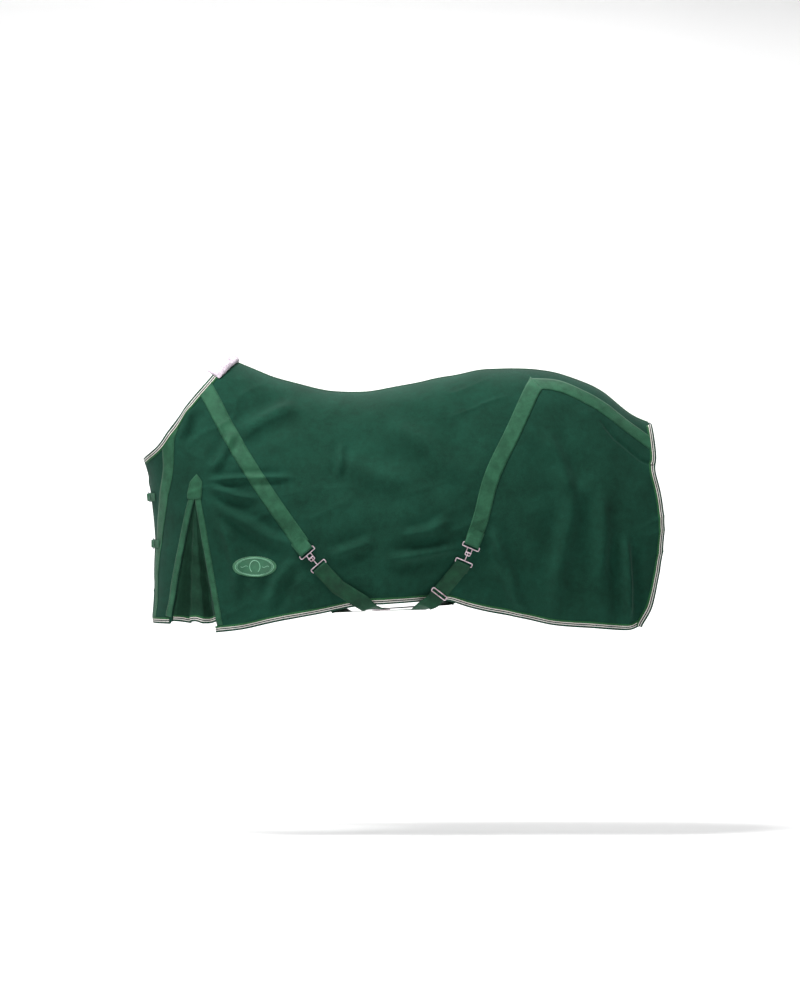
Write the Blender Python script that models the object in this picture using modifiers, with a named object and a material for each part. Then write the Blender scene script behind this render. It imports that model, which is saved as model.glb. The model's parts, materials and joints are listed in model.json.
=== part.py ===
"""A horse's rug as it hangs on the horse: two cloth sides, webbing, bindings, clips and straps.

The head end is at -X, the near (left) side at -Y, and the origin is on the back seam at the
lowest point of the back. The cloth is one smooth body surface, and each flat piece is a thin
layer of that surface cut to its own outline, as seen from the side.
"""

import math

import bmesh
import bpy
from mathutils import Matrix, Vector
from mathutils.bvhtree import BVHTree

# Driving dimensions, in metres. The outlines below are drafted for a rug of PATTERN size and
# graded to LENGTH and DROP.
PATTERN_LENGTH = 1.66
PATTERN_DROP = 0.87
LENGTH = 1.66
DROP = 0.87
HALF_WIDTH = 0.325
GAP = 0.0004
CLOTH = 0.003
TAPE = 0.0012
WEBBING = 0.0015
BINDING = 0.001
BINDING_WIDTH = 0.019
WEB_WIDTH = 0.050
CROUP_SIDE_WIDTH = 0.034
GUSSET_TAPE_WIDTH = 0.018
GUSSET_CLOTH = 0.002
GUSSET_MARGIN = 0.008
ZONE_FRONT = -0.8
ZONE_REAR = -0.3
SEAM_HALF_GAP = 0.002
SEAM_TAPE_WIDTH = 0.024
FLEECE_PILE = 0.009
LABEL_LENGTH = 0.137
LABEL_HEIGHT = 0.066
CHEST_STRAP_WIDTH = 0.025
CHEST_STRAP = 0.0018
CHEST_HALF_GAP = 0.010
CLIP_WIRE = 0.0035
CLIP_HALF_WIDTH = WEB_WIDTH / 2 + CLIP_WIRE / 2 + 0.001
CLIP_HEIGHT = CLOTH / 2 + 0.009
CLIP_LOOP = 0.012
CLIP_SPAN = 0.0436
BAR_CLEARANCE = 0.0005

LENGTH_GRADE = LENGTH / PATTERN_LENGTH
DROP_GRADE = DROP / PATTERN_DROP

# Body shape: the back line, full half-width, underside tuck and back squareness along X, and the
# chest's front line down Z.
BACK = [(-0.72, 0.34), (-0.52, 0.17), (-0.403, 0.110), (-0.271, 0.055), (-0.180, 0.028),
        (-0.091, 0.007), (0.0, 0.0), (0.091, 0.005), (0.214, 0.031), (0.335, 0.049),
        (0.432, 0.070), (0.517, 0.075), (0.607, 0.069), (0.728, 0.037), (0.806, 0.001),
        (0.896, -0.071), (0.956, -0.099), (1.02, -0.115)]
WIDTHS = [(-0.72, 0.80), (-0.35, 0.84), (0.10, 1.0), (0.35, 0.96), (0.60, 0.90), (0.80, 0.76),
          (1.02, 0.48)]
TUCKS = [(-0.72, 0.02), (-0.40, 0.06), (0.0, 0.28), (0.25, 0.36), (0.50, 0.20), (1.02, 0.04)]
ROUNDNESS = [(-0.72, 1.6), (-0.35, 1.6), (0.0, 2.0), (0.5, 2.2), (1.02, 1.9)]
FRONT = [(-0.80, -0.632), (-0.695, -0.636), (-0.60, -0.628), (-0.47, -0.627), (-0.38, -0.636),
         (-0.273, -0.648), (-0.213, -0.663), (-0.10, -0.690), (0.12, -0.700)]
CHEST_BACK_X = -0.34
FULL_DEPTH = 0.45
LOWEST = -0.79
REARMOST = 1.010

# Outlines and centre lines in the side view, as (x, z).
NECK_EDGE = [(-0.400, 0.125), (-0.452, 0.041), (-0.504, -0.022), (-0.567, -0.107),
             (-0.608, -0.167), (-0.664, -0.211)]
REAR_EDGE = [(0.956, -0.070), (0.964, -0.107), (0.974, -0.201), (0.970, -0.249), (0.986, -0.321),
             (0.995, -0.413), (0.992, -0.502), (0.977, -0.592), (0.956, -0.684), (0.929, -0.740)]
HEM = [(0.929, -0.740), (0.878, -0.756), (0.758, -0.7465), (0.636, -0.737), (0.5465, -0.718),
       (0.384, -0.683), (0.3055, -0.6615), (0.214, -0.664), (0.0535, -0.674), (-0.091, -0.701),
       (-0.211, -0.7215), (-0.331, -0.7497), (-0.428, -0.761)]
FRONT_HEM_Z = -0.737
BELLY_HEM_Z = -0.664
SLIT_TOP = (-0.491, -0.337)
SLIT_FRONT_FOOT = (-0.577, -0.745)
SLIT_REAR_FOOT = (-0.420, -0.745)
PATCH = [(-0.485, -0.2615), (-0.507, -0.2867), (-0.5135, -0.3365), (-0.470, -0.3365),
         (-0.467, -0.2867)]
FRONT_TAPE = [(-0.570, -0.100, 0.038), (-0.577, -0.1575, 0.036), (-0.580, -0.261, 0.032),
              (-0.595, -0.353, 0.030), (-0.606, -0.441, 0.022), (-0.6127, -0.564, 0.015),
              (-0.622, -0.6835, 0.010), (-0.624, -0.730, 0.010)]
FRONT_WEB = [(-0.480, 0.041), (-0.457, 0.0), (-0.350, -0.192), (-0.247, -0.348),
             (-0.1500, -0.484)]
REAR_WEB = [(0.590, 0.024), (0.572, -0.008), (0.5135, -0.132), (0.448, -0.268),
            (0.414, -0.394), (0.3885, -0.4700)]
CROUP_WEB = [(0.590, 0.024), (0.668, 0.014), (0.756, -0.022), (0.819, -0.0615),
             (0.879, -0.110), (0.990, -0.188)]
MITRE = [(0.575, 0.044), (0.612, 0.000)]
FLEECE = [(-0.462, 0.053), (-0.409, 0.135), (-0.368, 0.125), (-0.372, 0.088), (-0.430, 0.026)]
LABEL_CENTRE = (-0.301, -0.554)
FRONT_CLIP = [(-0.130, -0.5135), (-0.1016, -0.5466)]
REAR_CLIP = [(0.378, -0.4945), (0.3600, -0.5345)]
CHEST_HEIGHTS = {"upper": -0.334, "lower": -0.4835}


def graded(point):
    return point[0] * LENGTH_GRADE, point[1] * DROP_GRADE


def smooth(points, at):
    """A smooth curve through sorted points, read at one place, with straight ends."""
    if at <= points[0][0]:
        return points[0][1]
    for i in range(len(points) - 1):
        (a, fa), (b, fb) = points[i], points[i + 1]
        if at <= b:
            before = points[max(i - 1, 0)]
            after = points[min(i + 2, len(points) - 1)]
            slope_a = (fb - before[1]) / (b - before[0])
            slope_b = (after[1] - fa) / (after[0] - a)
            t = (at - a) / (b - a)
            h = b - a
            return (fa * (1 + 2 * t) * (1 - t) ** 2 + slope_a * h * t * (1 - t) ** 2
                    + fb * t * t * (3 - 2 * t) - slope_b * h * t * t * (1 - t))
    return points[-1][1]


def back_z(x):
    return smooth(BACK, x / LENGTH_GRADE) * DROP_GRADE


def front_x(z):
    return smooth(FRONT, z / DROP_GRADE) * LENGTH_GRADE


def chest_share(x, z):
    """How far back x lies from the chest's front line, from 0 at the line to 1 at the shoulder."""
    front = front_x(z)
    return min(max((x - front) / (CHEST_BACK_X * LENGTH_GRADE - front), 0.0), 1.0)


def section_width(x, z):
    """The half-width of the body's section at x, before the chest rounds it off."""
    full = HALF_WIDTH * smooth(WIDTHS, x / LENGTH_GRADE)
    depth = max(back_z(x) - z, 0.0) / (FULL_DEPTH * DROP_GRADE)
    if depth < 1:
        power = smooth(ROUNDNESS, x / LENGTH_GRADE)
        return full * (1 - (1 - depth) ** power) ** (1 / power)
    return full * (1 - smooth(TUCKS, x / LENGTH_GRADE) * (1.1 * (depth - 1)) ** 2)


def half_width(x, z):
    return section_width(x, z) * math.sqrt(1 - (1 - chest_share(x, z)) ** 2)


def surface_normal(x, z, side):
    step = 0.004
    dx = (half_width(x + step, z) - half_width(x - step, z)) / (2 * step)
    dz = (half_width(x, z + step) - half_width(x, z - step)) / (2 * step)
    return Vector((-dx, side, -dz)).normalized()


def on_surface(x, z, side, lift):
    return Vector((x, side * half_width(x, z), z)) + lift * surface_normal(x, z, side)


def clear_scene():
    for old in list(bpy.data.objects):
        bpy.data.objects.remove(old, do_unlink=True)


def new_collection(name):
    collection = bpy.data.collections.new(name)
    bpy.context.scene.collection.children.link(collection)
    return collection


def make_material(name, color, roughness, metallic=0.0):
    material = bpy.data.materials.new(name)
    material.use_nodes = True
    shader = material.node_tree.nodes["Principled BSDF"]
    shader.inputs["Base Color"].default_value = (*color, 1.0)
    shader.inputs["Roughness"].default_value = roughness
    shader.inputs["Metallic"].default_value = metallic
    return material


def add_object(name, mesh, material=None):
    """Puts a mesh in the scene: a part when it has a material, otherwise a cutter."""
    obj = bpy.data.objects.new(name, mesh)
    if material:
        PARTS.objects.link(obj)
        mesh.materials.append(material)
    else:
        CUTTERS.objects.link(obj)
        obj.hide_render = True
        obj.display_type = "WIRE"
    return obj


def finish_mesh(name, bm):
    mesh = bpy.data.meshes.new(name)
    bm.to_mesh(mesh)
    bm.free()
    return mesh


def column_xs(z):
    """X of each column of the body surface: close together round the chest, then along the barrel."""
    turns = [2.4, 9, 16, 23, 31, 40, 52, 66, 80]
    front = front_x(z)
    back = CHEST_BACK_X * LENGTH_GRADE
    xs = [front + (back - front) * (1 - math.cos(math.radians(turn))) for turn in turns]
    count = 15
    last = REARMOST * LENGTH_GRADE
    start = xs[-1]
    return xs + [start + (last - start) * i / count for i in range(1, count + 1)]


def row_depths(x):
    """Depth of each row below the back line: close together where the back turns over."""
    full = FULL_DEPTH * DROP_GRADE
    turns = [0, 13, 26, 39, 52, 66, 80]
    depths = [full * (1 - math.cos(math.radians(turn))) for turn in turns]
    lowest = back_z(x) - LOWEST * DROP_GRADE
    count = 6
    return depths + [depths[-1] + (lowest - depths[-1]) * i / count for i in range(1, count + 1)]


def surface_point(column, row, side):
    x = column_xs(FRONT_HEM_Z * DROP_GRADE)[column]
    for _ in range(3):
        z = back_z(x) - row_depths(x)[row]
        x = column_xs(z)[column]
    z = back_z(x) - row_depths(x)[row]
    y = SEAM_HALF_GAP if row == 0 else max(half_width(x, z), SEAM_HALF_GAP)
    return Vector((x, side * y, z))


def body_surface(name, sides):
    """The open body surface of one side, or of both joined over the back."""
    columns = len(column_xs(0))
    near = [(row, -1) for row in range(len(row_depths(0)))]
    off = [(row, 1) for row in range(len(row_depths(0)))]
    rows = {(-1,): near, (1,): off[::-1], (-1, 1): near[::-1] + off}[sides]
    if sides == (-1,):
        rows = near[::-1]
    if sides == (1,):
        rows = off
    bm = bmesh.new()
    made = bmesh.ops.create_grid(bm, x_segments=columns - 1, y_segments=len(rows) - 1, size=1)
    for vertex in made["verts"]:
        column = round((vertex.co.x + 1) / 2 * (columns - 1))
        row, side = rows[round((vertex.co.y + 1) / 2 * (len(rows) - 1))]
        vertex.co = surface_point(column, row, side)
    bmesh.ops.triangulate(bm, faces=bm.faces[:])
    return finish_mesh(name, bm)


def surface_tree():
    """Both sides' body surfaces, for laying the chest straps on."""
    mesh = body_surface("chest_surface", (-1, 1))
    bm = bmesh.new()
    bm.from_mesh(mesh)
    tree = BVHTree.FromBMesh(bm)
    bm.free()
    bpy.data.meshes.remove(mesh)
    return tree


def add_layer(obj, low, high):
    """Thickens an open surface into a layer from low to high, measured outwards from it."""
    solidify = obj.modifiers.new("layer", "SOLIDIFY")
    solidify.thickness = high - low
    solidify.offset = (low + high) / (high - low)


def cut(obj, cutter, operation):
    boolean = obj.modifiers.new(cutter.name, "BOOLEAN")
    boolean.operation = operation
    boolean.object = cutter
    boolean.solver = "EXACT"


def prism(name, outline, low_y, high_y):
    """A cutter with the given side-view outline, running from low_y to high_y."""
    bm = bmesh.new()
    face = bm.faces.new([bm.verts.new((x, low_y, z)) for x, z in outline])
    extruded = bmesh.ops.extrude_face_region(bm, geom=[face])
    moved = [item for item in extruded["geom"] if isinstance(item, bmesh.types.BMVert)]
    bmesh.ops.translate(bm, verts=moved, vec=(0, high_y - low_y, 0))
    bmesh.ops.recalc_face_normals(bm, faces=bm.faces[:])
    return add_object(name, finish_mesh(name, bm))


def side_prism(name, outline, side, start=0.0):
    """A cutter for one side only, from start to well past the body."""
    ends = sorted((side * start, side * 2 * HALF_WIDTH))
    return prism(name, outline, *ends)


def rounded(points, steps=2):
    """A finer line through hand-set points, curved by Catmull-Rom."""
    line = []
    for i in range(len(points) - 1):
        p0, p1, p2 = points[max(i - 1, 0)], points[i], points[i + 1]
        p3 = points[min(i + 2, len(points) - 1)]
        for k in range(steps):
            t = k / steps
            line.append(tuple(0.5 * (2 * b + (c - a) * t + (2 * a - 5 * b + 4 * c - d) * t * t
                                     + (3 * b - a - 3 * c + d) * t ** 3)
                              for a, b, c, d in zip(p0, p1, p2, p3)))
    return line + [points[-1]]


def side_normals(line):
    """Unit normals of a side-view line, on the left of its direction."""
    normals = []
    for i in range(len(line)):
        before, after = line[max(i - 1, 0)], line[min(i + 1, len(line) - 1)]
        dx, dz = after[0] - before[0], after[1] - before[1]
        length = math.hypot(dx, dz)
        normals.append((-dz / length, dx / length))
    return normals


def offset_line(line, distance):
    return [(p[0] + n[0] * distance, p[1] + n[1] * distance)
            for p, n in zip(line, side_normals(line))]


def band(line, left, right):
    """The outline between two offsets of a side-view line."""
    return offset_line(line, left) + offset_line(line, -right)[::-1]


def strip(points, width, steps=2):
    line = rounded([graded(point) for point in points], steps)
    return band(line, width / 2, width / 2)


def tapered_strip(points):
    line = rounded([(*graded(point), point[2]) for point in points], 1)
    normals = side_normals(line)
    left = [(p[0] + n[0] * p[2] / 2, p[1] + n[1] * p[2] / 2) for p, n in zip(line, normals)]
    right = [(p[0] - n[0] * p[2] / 2, p[1] - n[1] * p[2] / 2) for p, n in zip(line, normals)]
    return left + right[::-1]


def panel_outline(grow=0.0):
    """The side panel's outline, ahead of the chest and above the back where the surface itself ends."""
    neck = offset_line(neck_line(), -grow)
    rear = offset_line(rear_line(), grow)
    hem = offset_line(hem_line(), grow)
    floor = FRONT_HEM_Z * DROP_GRADE - grow
    ahead = -0.76 * LENGTH_GRADE
    top = 0.4 * DROP_GRADE
    return neck + [(ahead, floor), (hem[-1][0], floor)] + hem[::-1] + rear[::-1] + [
        (rear[0][0], top), (neck[0][0], top)]


def neck_line():
    return rounded([graded(point) for point in NECK_EDGE + [(-0.76, -0.27)]])


def rear_line():
    return rounded([graded(point) for point in REAR_EDGE], 1)


def hem_line():
    return rounded([graded(point) for point in HEM], 1)


def slit_outline(grow=0.0):
    top, front, rear = graded(SLIT_TOP), graded(SLIT_FRONT_FOOT), graded(SLIT_REAR_FOOT)
    drop = 0.08
    front_slope = (front[0] - top[0]) / (top[1] - front[1])
    rear_slope = (rear[0] - top[0]) / (top[1] - rear[1])
    rise = 2 * grow / (rear_slope - front_slope)
    return [(top[0], top[1] + rise),
            (front[0] - grow + front_slope * drop, front[1] - drop),
            (rear[0] + grow + rear_slope * drop, rear[1] - drop)]


def layer_piece(name, material, base, low, high, keep, remove=(), within=None):
    """A layer of the body surface, kept inside one or two cutters and cleared of the others."""
    obj = add_object(name, base.copy(), material)
    add_layer(obj, low, high)
    cut(obj, keep, "INTERSECT")
    if within:
        cut(obj, within, "INTERSECT")
    for cutter in remove:
        cut(obj, cutter, "DIFFERENCE")
    return obj


def make_bands(label, side):
    """Cutters along the bound edges: the bands themselves, and grown by the gap between pieces."""
    wrap = BINDING + GAP
    width = BINDING_WIDTH
    floor = FRONT_HEM_Z * DROP_GRADE
    rear = rear_line()
    below = (rear[-1][0] - 0.012, rear[-1][1] - 0.030)
    front = [(-0.76 * LENGTH_GRADE, floor), (-0.40 * LENGTH_GRADE, floor)]
    hem = hem_line()
    ahead = (hem[-1][0] - 0.010, hem[-1][1] - 0.002)
    routes = {"neck": (neck_line(), width, wrap), "rear": (rear + [below], wrap, width),
              "hem": (hem + [ahead], wrap, width), "front_hem": (front, width, wrap)}
    bands = {}
    for key, (line, left, right) in routes.items():
        for grow, suffix in ((0.0, ""), (GAP, "_grown")):
            outline = band(line, left + grow, right + grow)
            start = 0.0 if grow else SEAM_HALF_GAP + 0.001
            bands[key + suffix] = side_prism(f"cut_{label}_{key}{suffix}", outline, side, start)
    centre = [(-0.8 * LENGTH_GRADE, -DROP), (-0.6 * LENGTH_GRADE, -DROP),
              (-0.6 * LENGTH_GRADE, 0), (-0.8 * LENGTH_GRADE, 0)]
    reach = CHEST_HALF_GAP + 0.006
    bands["chest_centre"] = prism(f"cut_{label}_chest_centre", centre, -reach, reach)
    return bands


def make_binding(name, base, bands, key, sleeve, remove):
    reach = CLOTH / 2 + GAP + BINDING
    piece = layer_piece(name, BINDING_MATERIAL, base, -reach, reach, bands[key], remove)
    cut(piece, sleeve, "DIFFERENCE")
    return piece


def make_gusset(label, side, base, slit):
    """The pleated wedge behind the slit, with its own bound hem between the slit's feet."""
    top = -(CLOTH / 2 + GAP + BINDING + GAP)
    low = top - GUSSET_CLOTH
    floor = FRONT_HEM_Z * DROP_GRADE
    grown = slit_outline(GUSSET_MARGIN)
    keep = side_prism(f"cut_{label}_gusset", grown, side)
    below = [(ZONE_FRONT, floor), (ZONE_REAR, floor), (ZONE_REAR, floor - 0.2), (ZONE_FRONT, floor - 0.2)]
    under = side_prism(f"cut_{label}_gusset_hem", [graded((x, 0))[:1] + (z,) for x, z in below], side)
    layer_piece(f"{label}_shoulder_gusset", CLOTH_MATERIAL, base, low, top, keep, [under])
    sleeve = add_object(f"cut_{label}_gusset_sleeve", base.copy())
    add_layer(sleeve, low - GAP, top + GAP)
    wide = [(ZONE_FRONT, 0), (ZONE_REAR, 0), (ZONE_REAR, floor - GAP), (ZONE_FRONT, floor - GAP)]
    cut(sleeve, side_prism(f"cut_{label}_gusset_cloth", wide, side), "INTERSECT")
    hem = [(ZONE_FRONT, floor + BINDING_WIDTH), (ZONE_REAR, floor + BINDING_WIDTH),
           (ZONE_REAR, floor - GAP - BINDING), (ZONE_FRONT, floor - GAP - BINDING)]
    inside = side_prism(f"cut_{label}_slit_inside", slit_outline(-GAP), side)
    binding = layer_piece(f"{label}_gusset_hem_binding", BINDING_MATERIAL, base,
                          low - GAP - BINDING, top + GAP + BINDING, inside)
    cut(binding, side_prism(f"cut_{label}_gusset_band", hem, side), "INTERSECT")
    cut(binding, sleeve, "DIFFERENCE")


def leg_tape(top, foot, outward):
    """The tape beside one leg of the slit, just outside its edge."""
    line = [graded(top), graded(foot)]
    slope = (line[1][0] - line[0][0]) / (line[1][1] - line[0][1])
    line.append((line[1][0] - slope * 0.05, line[1][1] - 0.05))
    if outward < 0:
        return band(line, -GAP, GUSSET_TAPE_WIDTH + GAP)
    return band(line, GUSSET_TAPE_WIDTH + GAP, -GAP)


def make_gusset_tapes(label, side, base, bands):
    low = CLOTH / 2 + GAP
    high = low + TAPE
    patch = side_prism(f"cut_{label}_patch", [graded(point) for point in PATCH], side)
    layer_piece(f"{label}_gusset_patch", TAPE_MATERIAL, base, low, high, patch)
    edge = graded(SLIT_TOP)[1] - GAP
    above = [(ZONE_FRONT, edge), (ZONE_REAR, edge), (ZONE_REAR, 0.0), (ZONE_FRONT, 0.0)]
    over = side_prism(f"cut_{label}_above_tapes", above, side)
    for place, foot, outward, key in (("front", SLIT_FRONT_FOOT, -1, "front_hem"),
                                      ("rear", SLIT_REAR_FOOT, 1, "hem")):
        outline = leg_tape(SLIT_TOP, foot, outward)
        keep = side_prism(f"cut_{label}_{place}_tape", outline, side)
        layer_piece(f"{label}_gusset_{place}_tape", TAPE_MATERIAL, base, low, high, keep,
                    [over, bands[key + "_grown"]], bands["panel"])


def mitre_prism(name, side, rear):
    """Everything behind, or ahead of, the line where the croup webbing meets the surcingle webbing."""
    (ax, az), (bx, bz) = [graded(point) for point in MITRE]
    slope = (bx - ax) / (bz - az)
    up = down = 0.15
    shift = -GAP / 2 if rear else GAP / 2
    reach = 0.5 if rear else -0.5
    top = (ax + slope * up + shift, az + up)
    foot = (bx - slope * down + shift, bz - down)
    return side_prism(name, [top, foot, (foot[0] + reach, foot[1]), (top[0] + reach, top[1])], side)


def make_webbing(label, side, base, bands):
    low = CLOTH / 2 + GAP
    high = low + WEBBING
    front = side_prism(f"cut_{label}_front_web", strip(FRONT_WEB, WEB_WIDTH), side)
    front_web = layer_piece(f"{label}_front_surcingle_webbing", WEB_MATERIAL, base, low, high, front,
                            [bands["neck_grown"]], bands["panel"])
    rear = side_prism(f"cut_{label}_rear_web", strip(REAR_WEB, WEB_WIDTH), side)
    behind = mitre_prism(f"cut_{label}_behind_mitre", side, True)
    rear_web = layer_piece(f"{label}_rear_surcingle_webbing", WEB_MATERIAL, base, low, high, rear,
                           [behind])
    croup = side_prism(f"cut_{label}_croup_web", strip(CROUP_WEB, CROUP_SIDE_WIDTH), side)
    ahead = mitre_prism(f"cut_{label}_ahead_mitre", side, False)
    layer_piece(f"{label}_croup_webbing", WEB_MATERIAL, base, low, high, croup,
                [ahead, bands["rear_grown"]], bands["panel"])
    tape = side_prism(f"cut_{label}_front_edge_tape", tapered_strip(FRONT_TAPE), side)
    layer_piece(f"{label}_front_edge_tape", TAPE_MATERIAL, base, low, low + TAPE, tape,
                [bands["neck_grown"], bands["front_hem_grown"]], bands["panel"])
    return front_web, rear_web


def make_side(label, side):
    base = body_surface(f"{label}_body_surface", (side,))
    outline = side_prism(f"cut_{label}_panel", panel_outline(), side)
    slit = side_prism(f"cut_{label}_slit", slit_outline(), side)
    layer_piece(f"{label}_side_panel", CLOTH_MATERIAL, base, -CLOTH / 2, CLOTH / 2, outline, [slit])
    sleeve = add_object(f"cut_{label}_sleeve", base.copy())
    add_layer(sleeve, -CLOTH / 2 - GAP, CLOTH / 2 + GAP)
    cut(sleeve, side_prism(f"cut_{label}_panel_grown", panel_outline(GAP), side), "INTERSECT")
    bands = make_bands(label, side)
    bands["panel"] = outline
    make_binding(f"{label}_neck_binding", base, bands, "neck", sleeve, [bands["chest_centre"]])
    make_binding(f"{label}_rear_binding", base, bands, "rear", sleeve, [])
    make_binding(f"{label}_hem_binding", base, bands, "hem", sleeve, [bands["rear_grown"], slit])
    behind_slit = side_prism(f"cut_{label}_behind_slit", [
        graded(point) for point in (SLIT_TOP, (-0.60, -0.9), (-0.3, -0.9), (-0.3, -0.3))], side)
    make_binding(f"{label}_front_hem_binding", base, bands, "front_hem", sleeve,
                 [slit, behind_slit, bands["chest_centre"]])
    make_gusset(label, side, base, slit)
    make_gusset_tapes(label, side, base, bands)
    return base, bands, make_webbing(label, side, base, bands)


def make_middle_pieces():
    """What crosses the back: the seam tape that joins the sides, and the fleece withers pad."""
    base = body_surface("both_body_surfaces", (-1, 1))
    low = CLOTH / 2 + GAP
    start, end = graded((-0.372, 0))[0], graded((0.935, 0))[0]
    reach = 0.5
    strip_outline = [(start, -reach), (end, -reach), (end, reach), (start, reach)]
    keep = prism("cut_seam_tape", strip_outline, -SEAM_TAPE_WIDTH / 2, SEAM_TAPE_WIDTH / 2)
    layer_piece("centre_back_seam_tape", WEB_MATERIAL, base, low, low + TAPE, keep)
    pad = prism("cut_fleece", [graded(point) for point in FLEECE], -HALF_WIDTH, HALF_WIDTH)
    bottom = low + WEBBING + GAP
    layer_piece("withers_fleece_pad", FLEECE_MATERIAL, base, bottom, bottom + FLEECE_PILE, pad)


def make_label(base):
    x, z = graded(LABEL_CENTRE)
    count = 24
    outline = [(x + LABEL_LENGTH / 2 * math.cos(2 * math.pi * i / count),
                z + LABEL_HEIGHT / 2 * math.sin(2 * math.pi * i / count)) for i in range(count)]
    keep = side_prism("cut_side_label", outline, -1)
    low = CLOTH / 2 + GAP
    layer_piece("side_label", TAPE_MATERIAL, base, low, low + TAPE, keep)


def eased(points, normals):
    """Adds stops near both ends of each long run, so that the run between them lies flat."""
    ease = 0.02
    eased_points, eased_normals = [points[0]], [normals[0]]
    for i in range(1, len(points)):
        run = points[i] - points[i - 1]
        if run.length > 3 * ease:
            middle = (normals[i] + normals[i - 1]).normalized()
            for end in (points[i - 1] + run.normalized() * ease, points[i] - run.normalized() * ease):
                eased_points.append(end)
                eased_normals.append(middle)
        eased_points.append(points[i])
        eased_normals.append(normals[i])
    return eased_points, eased_normals


def ribbon(points, normals, width, thickness):
    """A flat strap along a path, with its two faces folded along the same diagonals."""
    points, normals = eased(points, normals)
    bm = bmesh.new()
    rows = []
    for i, point in enumerate(points):
        ahead = points[min(i + 1, len(points) - 1)] - points[max(i - 1, 0)]
        across = normals[i].cross(ahead).normalized()
        up = ahead.cross(across).normalized()
        rows.append([bm.verts.new(point + across * (w * width / 2) + up * (h * thickness / 2))
                     for w, h in ((-1, -1), (1, -1), (1, 1), (-1, 1))])
    for a, b in zip(rows, rows[1:]):
        for corners in ((a[0], a[1], b[1]), (a[0], b[1], b[0]), (a[3], a[2], b[2]), (a[3], b[2], b[3]),
                        (a[1], a[2], b[2], b[1]), (a[3], a[0], b[0], b[3])):
            bm.faces.new(corners)
    bm.faces.new(rows[0])
    bm.faces.new(rows[-1])
    bmesh.ops.recalc_face_normals(bm, faces=bm.faces[:])
    return bm


def wire_mesh(name, points, radius, cyclic):
    """A round wire through the points, as a closed mesh."""
    data = bpy.data.curves.new(name, "CURVE")
    data.dimensions = "3D"
    data.bevel_depth = radius
    data.bevel_resolution = 2
    data.use_fill_caps = True
    spline = data.splines.new("POLY")
    spline.points.add(len(points) - 1)
    for point, place in zip(spline.points, points):
        point.co = (*place, 1)
    spline.use_cyclic_u = cyclic
    obj = bpy.data.objects.new(name, data)
    CUTTERS.objects.link(obj)
    graph = bpy.context.evaluated_depsgraph_get()
    mesh = bpy.data.meshes.new_from_object(obj.evaluated_get(graph))
    bpy.data.objects.remove(obj, do_unlink=True)
    bm = bmesh.new()
    bm.from_mesh(mesh)
    bmesh.ops.remove_doubles(bm, verts=bm.verts[:], dist=1e-6)
    bmesh.ops.recalc_face_normals(bm, faces=bm.faces[:])
    bm.to_mesh(mesh)
    bm.free()
    return mesh


def cylinder_mesh(name, radius, length, sides=14):
    """A cylinder along its own Y axis."""
    bm = bmesh.new()
    bmesh.ops.create_cone(bm, cap_ends=True, segments=sides, radius1=radius, radius2=radius,
                          depth=length, matrix=Matrix.Rotation(math.pi / 2, 4, "X"))
    return finish_mesh(name, bm)


def box_mesh(name, size):
    bm = bmesh.new()
    bmesh.ops.create_cube(bm, size=1, matrix=Matrix.Diagonal((*size, 1)))
    return finish_mesh(name, bm)


def placed(obj, frame, offset=(0, 0, 0)):
    obj.matrix_world = frame @ Matrix.Translation(offset)
    return obj


def side_frame(points, side, lift):
    """A frame on the cloth: X along the strap, Y across it and Z out of the cloth."""
    (x0, z0), (x1, z1) = [graded(point) for point in points]
    start = on_surface(x0, z0, side, lift)
    along = (on_surface(x1, z1, side, lift) - start).normalized()
    out = surface_normal((x0 + x1) / 2, (z0 + z1) / 2, side)
    across = out.cross(along).normalized()
    out = along.cross(across)
    frame = Matrix((along, across, out)).transposed().to_4x4()
    frame.translation = start
    return frame


def loop_points(back, front, half, corner=0.003):
    """A flat rounded rectangle of wire, from back to front along X."""
    points = []
    for cx, cy, start in ((front, half, 0), (back, half, 90), (back, -half, 180), (front, -half, 270)):
        inner_x = cx - math.copysign(corner, cx - (back + front) / 2)
        inner_y = cy - math.copysign(corner, cy)
        for turn in (0, 45, 90):
            angle = math.radians(start + turn)
            points.append((inner_x + corner * math.cos(angle), inner_y + corner * math.sin(angle), 0))
    return points


def join_wires(name, frame, wires):
    """One metal piece from several wires, in the given frame."""
    pieces = []
    for index, (points, radius, cyclic) in enumerate(wires):
        mesh = wire_mesh(f"{name}_{index}", points, radius, cyclic)
        pieces.append(mesh)
    obj = placed(add_object(name, pieces[0], METAL_MATERIAL), frame)
    for index, mesh in enumerate(pieces[1:]):
        cut(obj, placed(add_object(f"cut_{name}_{index}", mesh), frame), "UNION")
    return obj


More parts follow.
